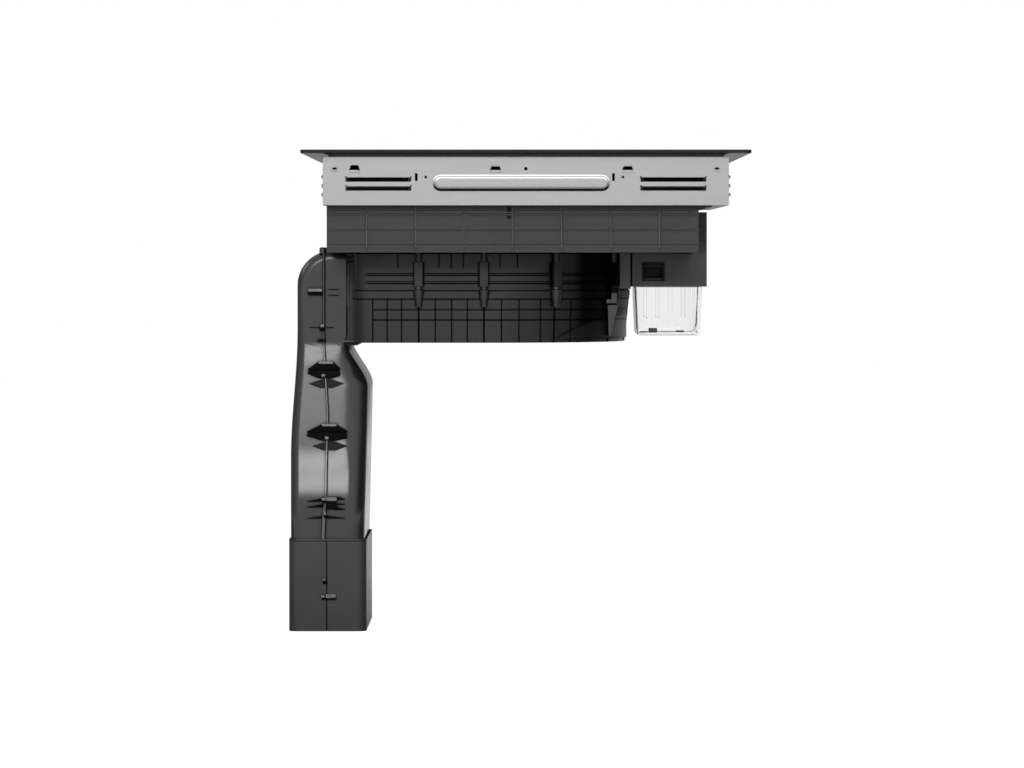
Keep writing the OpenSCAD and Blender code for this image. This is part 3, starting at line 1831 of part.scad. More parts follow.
module sleeve_front_shell() {
  color("#2a2a2c")
    union() {
      intersection() {
        sleeve_tube();
        span_box([-shell_reach, 0, sleeve_bottom - over], [shell_reach, seam_y, 0]);
      }
      sleeve_clips(-1);
    }
}

module sleeve_rear_shell() {
  color("#2d2d2f")
    union() {
      intersection() {
        sleeve_tube();
        span_box([-shell_reach, seam_y, sleeve_bottom - over], [shell_reach, shell_rear, 0]);
      }
      sleeve_clips(1);
    }
}

glass_top();
glass_frame();
casing();
casing_screws();
air_shaft();
filter_container();
grease_filter();
inlet_grille();
coil(-1, -1);  // coil_front_left
coil(-1, 1);  // coil_rear_left
coil(1, -1);  // coil_front_right
coil(1, 1);  // coil_rear_right
carrier(-1, -1);  // carrier_front_left
carrier(-1, 1);  // carrier_rear_left
carrier(1, -1);  // carrier_front_right
carrier(1, 1);  // carrier_rear_right
temperature_sensors();
coil_plate(-1);  // coil_plate_left
coil_plate(1);  // coil_plate_right
plate_posts();
power_board(-1);  // power_board_left
power_board(1);  // power_board_right
board_standoffs();
heat_sink(-1);  // heat_sink_left
heat_sink(1);  // heat_sink_right
cooling_fan_housing();
cooling_fan_rotor();
touch_board();
touch_carrier();
terminal_block();
cable_gland();
lower_tray();
tray_screws();
fan_control_board();
tank_holder();
tank_screws();
tank_seal();
overflow_tank();
inlet_ring();
fan_housing_upper();
fan_housing_lower();
housing_screws();
fan_impeller();
motor_rotor();
motor_shaft();
motor_stator();
bearing(tube_top - bearing_h);  // bearing_upper
bearing(bracket_top);  // bearing_lower
motor_bracket();
motor_screws();
duct_joint_seal();
duct_front_shell();
duct_rear_shell();
sleeve_front_shell();
sleeve_rear_shell();
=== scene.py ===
import math

import bpy
import numpy as np
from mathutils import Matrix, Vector


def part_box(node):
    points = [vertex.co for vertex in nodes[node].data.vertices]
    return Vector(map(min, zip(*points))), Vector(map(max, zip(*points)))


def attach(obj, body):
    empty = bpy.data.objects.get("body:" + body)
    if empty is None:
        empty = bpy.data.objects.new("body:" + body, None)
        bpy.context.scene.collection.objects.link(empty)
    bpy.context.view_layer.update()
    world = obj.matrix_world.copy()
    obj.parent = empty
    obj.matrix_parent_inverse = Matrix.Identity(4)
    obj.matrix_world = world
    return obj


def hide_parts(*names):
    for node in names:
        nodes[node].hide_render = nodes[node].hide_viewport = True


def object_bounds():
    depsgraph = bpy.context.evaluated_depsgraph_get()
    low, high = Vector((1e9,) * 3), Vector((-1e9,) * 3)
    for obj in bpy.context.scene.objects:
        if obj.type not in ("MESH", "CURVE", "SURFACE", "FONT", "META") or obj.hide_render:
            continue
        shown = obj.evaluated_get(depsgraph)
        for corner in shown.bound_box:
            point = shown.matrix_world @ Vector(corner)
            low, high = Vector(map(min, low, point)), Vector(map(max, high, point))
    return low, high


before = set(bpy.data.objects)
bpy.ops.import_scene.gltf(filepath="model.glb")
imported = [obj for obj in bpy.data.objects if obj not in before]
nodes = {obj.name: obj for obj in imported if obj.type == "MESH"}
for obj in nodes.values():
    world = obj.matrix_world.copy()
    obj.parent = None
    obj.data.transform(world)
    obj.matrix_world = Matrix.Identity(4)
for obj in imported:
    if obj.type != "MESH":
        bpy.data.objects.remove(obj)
cad_low, cad_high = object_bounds()
mm = 0.001


# The camera stands far off to the left of the cooktop, level with its underside, as the
# photograph was taken, with a long lens that hardly shows perspective.
def add_object(name, data):
    """Puts a new object with its data into the scene."""
    thing = bpy.data.objects.new(name, data)
    bpy.context.scene.collection.objects.link(thing)
    return thing


def aim(thing, place, target):
    """Sets an object at a place and turns it to a point."""
    thing.location = place
    thing.rotation_euler = (Vector(target) - Vector(place)).to_track_quat("-Z", "Y").to_euler()


photo_w, focal_px, sensor_w = 1024, 4757.0, 36.0
camera_data = bpy.data.cameras.new("camera")
camera_data.sensor_width = sensor_w
camera_data.lens = focal_px * sensor_w / photo_w
camera_data.clip_end = 60.0
camera = add_object("camera", camera_data)
aim(camera, (-5.796, 0.0045, -0.1214), (0.0, 0.0166, -0.2749))
bpy.context.scene.camera = camera

# The studio is a white room. Rays from the camera see it plain white. Reflections see a bright
# ceiling, a dim wall behind the cooktop and greyer walls to its front and rear, so dark
# plastic keeps its form.
bpy.context.scene.view_settings.view_transform = "Standard"
white = (1.0, 1.0, 1.0, 1.0)


def open_tree(owner, emptied=False):
    """Makes new nodes go to the tree of a material or a world."""
    global tree
    owner.use_nodes = True
    tree = owner.node_tree
    if emptied:
        tree.nodes.clear()


def wire(node, inputs):
    """Sets a node's inputs, by name or number, or links them to other nodes' outputs."""
    for name, value in inputs.items():
        if isinstance(value, bpy.types.NodeSocket):
            tree.links.new(value, node.inputs[name])
        else:
            node.inputs[name].default_value = value
    return node


def add_node(kind, inputs=None):
    """A new shader node of a kind, with its inputs set or linked."""
    return wire(tree.nodes.new("ShaderNode" + kind), inputs or {})


def calc(operation, *values):
    """One sum on one or two values or numbers."""
    node = add_node("Math", dict(enumerate(values)))
    node.operation = operation
    return node.outputs[0]


def remap(value, low, high, out_low, out_high):
    """Takes a value from one range to another, held at its ends."""
    return add_node("MapRange", {"Value": value, "From Min": low, "From Max": high,
                                 "To Min": out_low, "To Max": out_high}).outputs["Result"]


def axes(vector):
    """A vector's three parts."""
    return add_node("SeparateXYZ", {0: vector}).outputs


def mix_shaders(share, first, second):
    """Mixes two shaders by a share."""
    return add_node("MixShader", {0: share, 1: first, 2: second}).outputs[0]


def ray_kinds():
    """The kinds of ray, and whether a ray is the camera's, straight or through a clear piece."""
    rays = add_node("LightPath").outputs
    return rays, calc("MAXIMUM", rays["Is Camera Ray"], rays["Is Transmission Ray"])


room = bpy.data.worlds.new("studio")
bpy.context.scene.world = room
open_tree(room, True)
rays, seen = ray_kinds()
direction = axes(add_node("TexCoord").outputs["Generated"])


def wall_light(axis, low, high, dark, light):
    """How bright the room looks along one axis, rising smoothly from one place to another."""
    brightness = remap(direction[axis], low, high, dark, light)
    brightness.node.interpolation_type = "SMOOTHSTEP"
    return brightness


def backdrop(strength):
    """A white background of a strength."""
    return add_node("Background", {"Color": white, "Strength": strength}).outputs[0]


behind = wall_light("X", 0.1, 0.6, 0.0, 0.42)
ceiling = wall_light("Z", 0.3, 0.8, 0.0, 1.3)
front_wall = wall_light("Y", -0.92, -0.5, 0.01, 1.42)
rear_wall = wall_light("Y", 0.2, 1.0, 1.0, 0.35)
beyond = wall_light("X", 0.0, 0.3, 1.0, 0.2)
near_walls = calc("MULTIPLY", calc("MULTIPLY", rear_wall, front_wall), beyond)
room_light = calc("MAXIMUM", calc("MAXIMUM", behind, ceiling), near_walls)
unseen = mix_shaders(rays["Is Glossy Ray"], backdrop(0.62), backdrop(room_light))
add_node("OutputWorld", {0: mix_shaders(seen, unseen, backdrop(1.0))})

# Soft boxes: a long one above the camera, one over the front, which reflections don't see, and
# one over the rear.
for name, place, width, height, watts in (
        ("soft_box_side", (-4.3, 0.15, 1.0), 2.2, 0.7, 44),
        ("soft_box_front", (-1.6, -3.4, 1.8), 2.0, 1.2, 26),
        ("soft_box_rear", (-1.2, 3.2, 1.8), 2.0, 1.2, 22)):
    lamp = bpy.data.lights.new(name, "AREA")
    lamp.shape = "RECTANGLE"
    lamp.size, lamp.size_y, lamp.energy = width, height, watts
    soft_box = add_object(name, lamp)
    aim(soft_box, place, (0.0, 0.0, -0.25))
    soft_box.visible_camera = False
    soft_box.visible_glossy = name != "soft_box_front"

# The floor lies below the sleeve at its longest. It is pale, nearly white to the camera,
# dark close by and lighter far off in reflections, keeps a faint shadow and is clear from below.
floor_z = float(cad_low.z) - 0.064
half = 14.0
floor_mesh = bpy.data.meshes.new("floor")
floor_mesh.from_pydata([(-half, -half, floor_z), (half, -half, floor_z), (half, half, floor_z),
                        (-half, half, floor_z)], [], [(0, 1, 2, 3)])
floor = add_object("floor", floor_mesh)
pale = bpy.data.materials.new("pale_floor")
open_tree(pale, True)


def matt(grey):
    """A matt grey surface."""
    return add_node("BsdfDiffuse", {"Color": (grey, grey, grey, 1.0)}).outputs[0]


def glowing(surface, strength):
    """A surface that glows as well."""
    glow = add_node("Emission", {"Strength": strength}).outputs[0]
    return add_node("AddShader", {0: surface, 1: glow}).outputs[0]


rays, seen = ray_kinds()
geometry = add_node("NewGeometry").outputs
floor_x = axes(geometry["Position"])["X"]
far_light = calc("MAXIMUM", remap(floor_x, -0.9, -2.2, 0.0, 1.35),
                 remap(floor_x, 0.4, 1.6, 0.0, 0.7))
unseen = mix_shaders(rays["Is Glossy Ray"], matt(0.25), glowing(matt(0.07), far_light))
by_ray = mix_shaders(seen, unseen, glowing(matt(0.16), 0.93))
clear = add_node("BsdfTransparent").outputs[0]
add_node("OutputMaterial", {0: mix_shaders(geometry["Backfacing"], by_ray, clear)})
floor_mesh.materials.append(pale)

# Glass top: one plate of black glass ceramic with a ground edge, glued on its frame. Its
# upper face carries thin printed marks for the four zones and the touch control.
glass_low, glass_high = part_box("glass_top")
grille_low, grille_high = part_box("inlet_grille")
glass_w, glass_d = glass_high.x - glass_low.x, glass_high.y - glass_low.y
inlet_w, inlet_l = 96 * mm, 280 * mm
inlet_y = (grille_low.y + grille_high.y) / 2
glass_r, inlet_r, ground = 6 * mm, 5 * mm, 1.1 * mm


def rounded_loop(w, d, r, y0, steps=10):
    """Points round a rectangle w by d with its middle at (0, y0): at each corner a quarter
    circle of radius r, as (corner - r) + r (cos, sin) of its own quarter turn."""
    turn = np.linspace(0, np.pi / 2, steps)
    quarter = np.arange(4)[:, None] * np.pi / 2 + turn
    sign_x = np.array([1, -1, -1, 1])[:, None]
    sign_y = np.array([1, 1, -1, -1])[:, None]
    x = sign_x * (w / 2 - r) + r * np.cos(quarter)
    y = y0 + sign_y * (d / 2 - r) + r * np.sin(quarter)
    return np.stack([x.ravel(), y.ravel()], 1)


def at_level(outline, z):
    """A flat outline's points at a height."""
    return np.column_stack([outline, np.full(len(outline), z)])


def grid_faces(rows, columns, closed):
    """Four-cornered faces between each ring of points and the next, and from the last ring to
    the first if the grid is closed, as whole arrays."""
    i = np.arange(rows if closed else rows - 1)[:, None]
    j = np.arange(columns)[None, :]
    i2, j2 = (i + 1) % rows, (j + 1) % columns
    corners = [i * columns + j, i * columns + j2, i2 * columns + j2, i2 * columns + j]
    return np.stack(np.broadcast_arrays(*corners), -1).reshape(-1, 4)


def make_piece(name, points, faces, material, slot, body="cooktop", smooth=30.0):
    """Makes a mesh object of an array of points and one of faces, shaded smooth up to an
    angle in degrees, that moves with a body. The slot it is given is not used."""
    mesh = bpy.data.meshes.new(name)
    mesh.from_pydata(np.reshape(points, (-1, 3)).tolist(), [], np.asarray(faces).tolist())
    mesh.update()
    mesh.polygons.foreach_set("use_smooth", np.ones(len(mesh.polygons), bool))
    mesh.set_sharp_from_angle(angle=math.radians(smooth))
    mesh.materials.append(material)
    piece = add_object(name, mesh)
    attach(piece, body)
    return piece


def make_skin(name, rings, material, slot, body="cooktop", smooth=30.0, order=-1):
    """Makes a closed skin through rings of points, the last of which meets the first."""
    faces = grid_faces(len(rings), rings.shape[1], True)[:, ::order]
    return make_piece(name, rings, faces, material, slot, body, smooth)


def new_material(name):
    """A new material, its surface shader and the object's own coordinates."""
    material = bpy.data.materials.new(name)
    open_tree(material)
    return material, tree.nodes["Principled BSDF"], add_node("TexCoord").outputs["Object"]


def noise(place, scale, detail=2.0, stretch=None):
    """Noise of a size on the object's own coordinates, stretched along an axis if wanted."""
    if stretch:
        place = add_node("Mapping", {"Scale": stretch, "Vector": place}).outputs["Vector"]
    inputs = {"Scale": scale, "Detail": detail, "Vector": place}
    return add_node("TexNoise", inputs).outputs["Fac"]


def vary(value, low, high):
    """Spreads noise, which mostly lies between 0.3 and 0.7, over a range."""
    return remap(value, 0.3, 0.7, low, high)


def blend_colours(share, first, second):
    """Mixes two colours, or outputs that hold them, by a share."""
    node = add_node("Mix")
    node.data_type = "RGBA"
    for name, colour in (("A", first), ("B", second)):
        flat = not isinstance(colour, bpy.types.NodeSocket)
        wire(node, {name: (*colour, 1.0) if flat else colour})
    return wire(node, {"Factor": share}).outputs["Result"]


def rounded_normal(radius):
    """The surface's normal, with its edges rounded by a radius in millimetres."""
    bevel = add_node("Bevel", {"Radius": radius * mm})
    bevel.samples = 4
    return bevel.outputs[0]


def surface_bump(height, depth, strength=1.0, radius=None):
    """Raises the surface by a height times a depth in millimetres, over rounded edges."""
    inputs = {"Strength": strength, "Distance": depth * mm, "Height": height}
    if radius:
        inputs["Normal"] = rounded_normal(radius)
    return add_node("Bump", inputs).outputs[0]


def distance(x, y):
    """The distance from a point at x and y from it."""
    squares = calc("ADD", calc("POWER", x, 2.0), calc("POWER", y, 2.0))
    return calc("SQRT", squares)


def dress(material, *names):
    """Gives CAD nodes a material in place of their plain ones."""
    for name in names:
        materials = nodes[name].data.materials
        materials.clear()
        materials.append(material)


def printed_glass():
    """Black glass with pale printed marks: a cross and four corner ticks round each zone's
    middle, and a row of dots and a slider line for the touch control."""
    material, shader, place = new_material("black_glass")

    def close_to(value, middle, reach):
        return calc("LESS_THAN", calc("ABSOLUTE", calc("SUBTRACT", value, middle)), reach)

    x, y, z = axes(place)
    zone_x = calc("ABSOLUTE", calc("SUBTRACT", calc("ABSOLUTE", x), 162 * mm))
    zone_y = calc("ABSOLUTE", calc("SUBTRACT", calc("ABSOLUTE", y), 98 * mm))
    nearest, furthest = calc("MINIMUM", zone_x, zone_y), calc("MAXIMUM", zone_x, zone_y)
    cross = calc("MULTIPLY", calc("LESS_THAN", nearest, 0.4 * mm),
                 calc("LESS_THAN", furthest, 9 * mm))
    tick = calc("MULTIPLY", close_to(furthest, 88 * mm, 0.4 * mm),
                calc("GREATER_THAN", nearest, 74 * mm))
    touch_y = calc("ABSOLUTE", calc("ADD", y, 206 * mm))
    pitch = 220 * mm / 9
    cell_x = calc("MULTIPLY", calc("SUBTRACT", calc("FRACT", calc("DIVIDE", x, pitch)), 0.5), pitch)
    away = distance(cell_x, touch_y)
    slider = calc("MULTIPLY", calc("LESS_THAN", touch_y, 0.35 * mm),
                  calc("GREATER_THAN", away, 6 * mm))
    control = calc("MAXIMUM", close_to(away, 3.2 * mm, 0.35 * mm), slider)
    panel = calc("MULTIPLY", calc("LESS_THAN", calc("ABSOLUTE", x), 110 * mm),
                 calc("LESS_THAN", y, -190 * mm))
    marks = calc("MAXIMUM", calc("MAXIMUM", cross, tick), calc("MULTIPLY", control, panel))
    marks = calc("MULTIPLY", marks, calc("GREATER_THAN", z, 3.9 * mm))
    smear, wave = noise(place, 9.0, 3.0), noise(place, 5.0, 1.0)
    facing = axes(add_node("NewGeometry").outputs["True Normal"])["Z"]
    painted = calc("MULTIPLY", calc("LESS_THAN", facing, -0.5), 0.29)
    wire(shader, {
        "Base Color": blend_colours(marks, (0.008, 0.008, 0.009), (0.32, 0.32, 0.33)),
        "Normal": surface_bump(wave, 0.02),
        "IOR": 1.52,
        "Roughness": calc("ADD", remap(smear, 0.35, 0.7, 0.05, 0.11), painted),
        "Specular IOR Level": remap(calc("GREATER_THAN", facing, 0.5), 0.0, 1.0, 0.22, 0.5)})
    return material


plate = np.stack([at_level(rounded_loop(w, d, r, y0), z) for w, d, r, y0, z in (
    (inlet_w, inlet_l, inlet_r, inlet_y, glass_low.z),
    (inlet_w, inlet_l, inlet_r, inlet_y, glass_high.z - ground / 2),
    (inlet_w + ground, inlet_l + ground, inlet_r + ground / 2, inlet_y, glass_high.z),
    (glass_w - 2 * ground, glass_d - 2 * ground, glass_r - ground / 2, 0, glass_high.z),
    (glass_w - 0.6 * ground, glass_d - 0.6 * ground, glass_r - ground / 4, 0,
     glass_high.z - 0.3 * ground),
    (glass_w, glass_d, glass_r, 0, glass_high.z - ground),
    (glass_w, glass_d, glass_r, 0, glass_low.z + 0.4 * mm),
    (glass_w - 0.8 * mm, glass_d - 0.8 * mm, glass_r, 0, glass_low.z))])
glass_plate = make_skin("glass_plate", plate, printed_glass(), "black_glass", smooth=8.0)
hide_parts("glass_top")


# Glass frame: a matt black plastic band moulded in one piece with four corner tabs. It is
# glued under the glass and screwed to the casing.
def moulded_plastic(name, colour, roughness, grain=0.05, edge=0.35, edge_highlight=0.02,
                    painted_light=5, gloss=0.5):
    """Moulded plastic: a fine grain, cloudy gloss, rounded edges made paler by a painted highlight,
    and creases made darker and duller by painted shade."""
    material, shader, place = new_material(name)
    grains, clouds = noise(place, 1400.0, 2.0), noise(place, 22.0, 4.0)
    along = add_node("VectorMath")
    along.operation = "DOT_PRODUCT"
    flat = add_node("NewGeometry").outputs["Normal"]
    wire(along, {0: rounded_normal(edge), 1: flat})
    # Painted highlight: the colour turns paler along rounded edges.
    highlight_share = remap(along.outputs["Value"], 0.995, 0.85, 0.0, 0.75)
    darker, paler = tuple(c * 0.86 for c in colour), tuple(c + edge_highlight for c in colour)
    cloudy = blend_colours(vary(clouds, 0.0, 1.0), darker, colour)
    highlighted = blend_colours(highlight_share, cloudy, paler)
    # Painted shade: ambient occlusion darkens the colour and lowers the gloss in creases.
    crease_shade = add_node("AmbientOcclusion", {"Distance": painted_light * mm, "Color": highlighted})
    crease_shade.samples = 6
    wire(shader, {
        "Base Color": crease_shade.outputs["Color"],
        "Specular IOR Level": remap(crease_shade.outputs["AO"], 0.35, 0.95, 0.06, gloss),
        "Roughness": vary(clouds, roughness - 0.04, roughness + 0.05),
        "Normal": surface_bump(grains, grain, 0.35, edge)})
    return material


dress(moulded_plastic("frame_plastic", (0.15, 0.15, 0.151), 0.5, painted_light=1.5),
      "glass_frame", "cable_gland")


# Casing: one pressed tray of galvanised steel sheet, folded at its corners, with pressed
# louvres and beads and punched windows. Four screws at its corners hold the glass's frame.
def sheet_metal(name, colour, roughness, streak=(1.0, 1.0, 1.0), edge=0.4, metal=1.0):
    """Rolled or zinc-coated metal: faint streaks along the roll, small flecks in the gloss,
    rounded edges."""
    material, shader, place = new_material(name)
    streaks, flecks = noise(place, 160.0, 3.0, streak), noise(place, 420.0, 2.0)
    tone = calc("ADD", calc("MULTIPLY", streaks, 0.6),
                calc("MULTIPLY", flecks, 0.4))
    darker = tuple(c * 0.93 for c in colour)
    wire(shader, {
        "Base Color": blend_colours(vary(tone, 0.0, 1.0), darker, colour),
        "Roughness": vary(flecks, roughness - 0.05, roughness + 0.06),
        "Normal": surface_bump(streaks, 0.02, 0.3, edge),
        "Metallic": metal})
    return material


def solid(loops):
    """A closed solid through loops with equally many points: four-cornered faces from loop to
    loop and, over each end, a strip of them across the loop, all turned outward."""
    loops = np.asarray(loops, float)
    rows, columns = loops.shape[:2]
    points = loops.reshape(-1, 3)
    sides = grid_faces(rows, columns, False)
    k = np.arange(columns // 2 - 1)
    cap = np.stack([k, k + 1, columns - 2 - k, columns - 1 - k], 1)
    faces = np.concatenate([sides, cap[:, ::-1], cap + (rows - 1) * columns])
    a, b, c = (points[sides[:, i]] - points.mean(0) for i in (0, 1, 2))
    if np.sum(np.cross(b - a, c - a) * a) < 0:
        faces = faces[:, ::-1]
    return points, faces


def joined(parts):
    """The points and faces of several solids as one pair of arrays."""
    starts = np.cumsum([0] + [len(points) for points, faces in parts[:-1]])
    points = np.concatenate([points for points, faces in parts])
    return points, np.concatenate([faces + start for (_, faces), start in zip(parts, starts)])


def build(name, parts, material, slot, body="cooktop", smooth=30.0):
    """Makes one piece of several solids."""
    return make_piece(name, *joined(parts), material, slot, body, smooth)


def on_wall(along, out, up, side, wall, axis="x"):
    """Points on either of two facing walls, from millimetres along the wall, out and up."""
    along, out, up = np.broadcast_arrays(along, out, up)
    flat = (side * (wall + out), along) if axis == "x" else (along, side * (wall + out))
    return np.stack([*flat, up], -1) * mm


def racetrack(length, height, steps=12):
    """Points round a bar with round ends, from its right end's foot."""
    turn = np.linspace(-np.pi / 2, np.pi / 2, steps)
    r = height / 2
    right = np.stack([length / 2 - r + r * np.cos(turn), r * np.sin(turn)], 1)
    return np.concatenate([right, -right])


def circle(steps):
    """Points round a circle of radius 1."""
    turn = np.linspace(0, 2 * np.pi, steps, endpoint=False)
    return np.stack([np.cos(turn), np.sin(turn)], 1)


def read_mark(name):
    """The value that a piece keeps for each of its points under a name."""
    node = add_node("Attribute")
    node.attribute_name = name
    return node.outputs["Fac"]


def with_painted_light(material, least=0.03, pale=None):
    """Adds painted light to a material: painted shade that turns it black where its piece's mark
    nears 1, and a painted highlight that turns it pale where the mark falls to -1."""
    open_tree(material)
    shader = tree.nodes["Principled BSDF"]
    painted_light = read_mark("painted_light")
    lit = remap(painted_light, 0.0, 1.0, 1.0, least)
    level = shader.inputs["Specular IOR Level"]
    if level.links:
        tree.links.new(calc("MULTIPLY", level.links[0].from_socket, lit), level)
    colour = shader.inputs["Base Color"].links[0].from_socket
    colour = blend_colours(lit, (0.001, 0.001, 0.001), colour)
    if pale:
        colour = blend_colours(remap(painted_light, -1.0, 0.0, 1.0, 0.0), colour, pale)
    wire(shader, {"Base Color": colour})
    return material


def mark(piece, name, values):
    """Keeps a value for each point of a piece, which its material reads."""
    attribute = piece.data.attributes.new(name, "FLOAT", "POINT")
    attribute.data.foreach_set("value", np.asarray(values, np.float32).ravel())


steel, along_roll = (0.243, 0.243, 0.245), (1.0, 0.06, 1.0)
galvanised = sheet_metal("galvanised_steel", steel, 0.4, along_roll)
dress(galvanised, "casing", "casing_screws")
dress(sheet_metal("zinc_screw", (0.42, 0.42, 0.43), 0.35),
      "tray_screws", "tank_screws", "motor_screws")
dress(sheet_metal("black_screw", (0.02, 0.02, 0.02), 0.4, metal=0.0), "housing_screws")

sides = (-1, 1)
wall_x, end_y = 276.0, 235.5
# Pressed steel with painted light: painted shade on slopes and in slots, and a pale painted
# highlight.
pressed = with_painted_light(sheet_metal("pressed_steel", steel, 0.4, along_roll, 0.1), 0.01,
                  (0.55, 0.55, 0.55))
bead_w, bead_h = 205.4, 18.3
rims = ((-0.3, -1.0, -1.0), (-0.3, 2.1, -1.0), (1.0, 2.45, -1.0), (1.4, 2.5, 0.4),
        (1.9, 2.6, 0.4), (2.2, 2.7, -1.0), (3.6, 3.1, -1.0), (4.0, 3.15, 0.0), (6.0, 3.15, 0.0))
# The bead's lower slope is painted black as shade; most rims' upper edges get a pale painted
# highlight, two get faint painted shade.
beads, bead_light = [], []
for side in sides:
    loops = []
    for draw, out, top_light in rims:
        y, z = racetrack(bead_w - 2 * draw, bead_h - 2 * draw).T
        loops.append(on_wall(5.3 + y, out, -34.2 + z, side, wall_x))
        height = z / (bead_h / 2 - draw)
        low_shade = np.clip(-2.5 * height - 0.4, 0, 1) * (draw < 2.2)
        bead_light.append(low_shade + top_light * np.clip(2.5 * height - 0.2, 0, 1))
    beads.append(solid(loops))
casing_bead = build("casing_bead", beads, pressed, "galvanised_steel", smooth=50.0)
mark(casing_bead, "painted_light", np.concatenate(bead_light))


def louvre(middle, top, half, side, wall, axis):
    """A pressed louvre's hood: an edge that hooks up at both ends and slopes back to the wall
    below. Each cross-section is a wedge whose top and foot follow smooth curves."""
    place, hook = np.linspace(-1, 1, 41), 5.0
    far = np.clip((np.abs(place) * half - half + hook) / hook, 0, 1)
    rim = 1.8 * far**2
    foot_z = -4.3 + 5.3 * far**1.8
    out = 3.3 * (1 - 0.45 * far**2)
    section = ((0.0, -0.4), (0.0, 0.8), (0.0, 1.0), (0.15, 1.0), (0.95, 0.25), (1.0, -0.4))
    return solid(np.stack([
        on_wall(middle + place * half, out * o, top + rim + s * (foot_z - rim), side, wall, axis)
        for s, o in section], 1))


# The hoods are painted with shade, darkest on the upper louvres of the long sides.
hoods, hood_shade = [], []
for side in sides:
    for end in sides:
        for top, dark in ((-28.0, 0.97), (-38.4, 0.8)):
            hoods.append(louvre(end * 171, top, 38.8, side, wall_x, "x"))
            hood_shade += [dark] * 6 * 41
for end in sides:
    for top in (-26.6, -37.0, -47.4):
        hoods.append(louvre(-200, top, 50.4, end, end_y, "y"))
        hood_shade += [0.5, 0.5, 0.7, 0.7, 0.7, 0.7] * 41
louvre_hoods = build("louvre_hoods", hoods, pressed, "galvanised_steel", smooth=50.0)
mark(louvre_hoods, "painted_light", hood_shade)

tongue_y, tongue_z = rounded_loop(12.4, 2.6, 0.5, 0, 4).T
tongues = [solid([on_wall(y + tongue_y * k, o, -21.0 + tongue_z * k, side, wall_x)
                  for k, o in ((1.0, -0.3), (1.0, 0.5), (0.94, 0.7))])
           for side in sides for y in (198.7149, 35.0895, -118.221)]
build("window_tongues", tongues, galvanised, "galvanised_steel")

slot_y, slot_z = circle(24).T
slots = [solid([on_wall(end * 221.7 + w * slot_y, o, -17.7 + h * slot_z, side, wall_x)
                for w, h, o in ((3.0, 1.5, 1.0), (3.0, 1.5, 2.1), (1.2, 0.8, 2.25))])
         for side in sides for end in sides]
# The slots are painted with shade, black at their bottoms.
screw_slots = build("screw_slots", slots, pressed, "screw_steel")
mark(screw_slots, "painted_light", np.tile(np.repeat([0.75, 0.75, 1.0], 24), 4))

# Air inlet: a black enamelled grille over a stainless grease filter, both in a moulded
# container that hangs in the air shaft. Each lifts out by hand.
dress(moulded_plastic("shaft_plastic", (0.012, 0.012, 0.013), 0.48), "air_shaft", "inlet_ring")
dress(moulded_plastic("container_plastic", (0.01, 0.01, 0.011), 0.4), "filter_container")
dress(sheet_metal("filter_mesh", (0.58, 0.58, 0.59), 0.3, (1.0, 6.0, 1.0)), "grease_filter")
dress(sheet_metal("grille_enamel", (0.02, 0.02, 0.021), 0.38, metal=0.0), "inlet_grille")


# Induction set: four windings of stranded copper on heat-proof carriers with ferrite bars,
# laid on two aluminium plates, each with a ceramic sensor in its middle.
def wound_copper(name, colour, x0, y0, pitch):
    """Lacquered strands wound round a point: fine rings by the distance from it."""
    material, shader, place = new_material(name)
    x, y, z = axes(place)
    x = calc("SUBTRACT", calc("ABSOLUTE", x), x0)
    y = calc("SUBTRACT", calc("ABSOLUTE", y), y0)
    away = calc("MULTIPLY", distance(x, y), 2 * math.pi / pitch)
    turn = calc("SINE", away)
    darker = tuple(c * 0.4 for c in colour)
    share = remap(turn, -0.9, 0.4, 0.0, 1.0)
    wire(shader, {
        "Base Color": blend_colours(share, darker, colour),
        "Normal": surface_bump(turn, 0.6),
        "Roughness": vary(noise(place, 900.0, 2.0), 0.28, 0.45),
        "Metallic": 0.85})
    return material


places = [f"{end}_{side}" for end in ("front", "rear") for side in ("left", "right")]
dress(wound_copper("copper_winding", (0.55, 0.24, 0.1), 162 * mm, 98 * mm, 2.6 * mm),
      *["coil_" + place for place in places])
dress(moulded_plastic("carrier_plastic", (0.03, 0.03, 0.034), 0.55),
      *["carrier_" + place for place in places], "touch_carrier")
dress(moulded_plastic("sensor_ceramic", (0.7, 0.68, 0.62), 0.5), "temperature_sensors")
dress(sheet_metal("rolled_aluminium", (0.62, 0.62, 0.63), 0.34, (1.0, 0.05, 1.0)),
      "coil_plate_left", "coil_plate_right", "plate_posts", "heat_sink_left", "heat_sink_right")


# Electronics on the casing's floor: boards on brass standoffs, a cooling fan in its moulded
# housing, the terminal block and the touch board under the glass's front edge.
def solder_mask(name, colour):
    """A printed board: copper tracks that show paler through the lacquer."""
    material, shader, place = new_material(name)
    tracks = add_node("TexBrick", {"Scale": 60.0, "Mortar Size": 0.06, "Vector": place})
    paler = tuple(c * 1.8 for c in colour)
    wire(shader, {
        "Base Color": blend_colours(tracks.outputs["Fac"], colour, paler),
        "Roughness": vary(noise(place, 300.0), 0.25, 0.4)})
    return material


dress(solder_mask("green_board", (0.02, 0.12, 0.05)),
      "power_board_left", "power_board_right", "touch_board")
dress(solder_mask("blue_board", (0.015, 0.08, 0.18)), "fan_control_board")
dress(sheet_metal("turned_brass", (0.6, 0.44, 0.2), 0.3), "board_standoffs")
dress(moulded_plastic("fan_plastic", (0.012, 0.012, 0.013), 0.45),
      "cooling_fan_housing", "cooling_fan_rotor")
dress(moulded_plastic("terminal_plastic", (0.68, 0.67, 0.62), 0.45), "terminal_block")

# Lower tray: a deep ribbed tray moulded in dark grey plastic, screwed under the casing's
# floor. It carries the air from the container to the fan.
# The tray's plastic has a strong painted highlight along its rounded edges and ribs.
dress(moulded_plastic("tray_plastic", (0.0155, 0.0155, 0.0167), 0.4, edge=0.5,
                      edge_highlight=0.22, painted_light=1.2, gloss=0.38), "lower_tray")


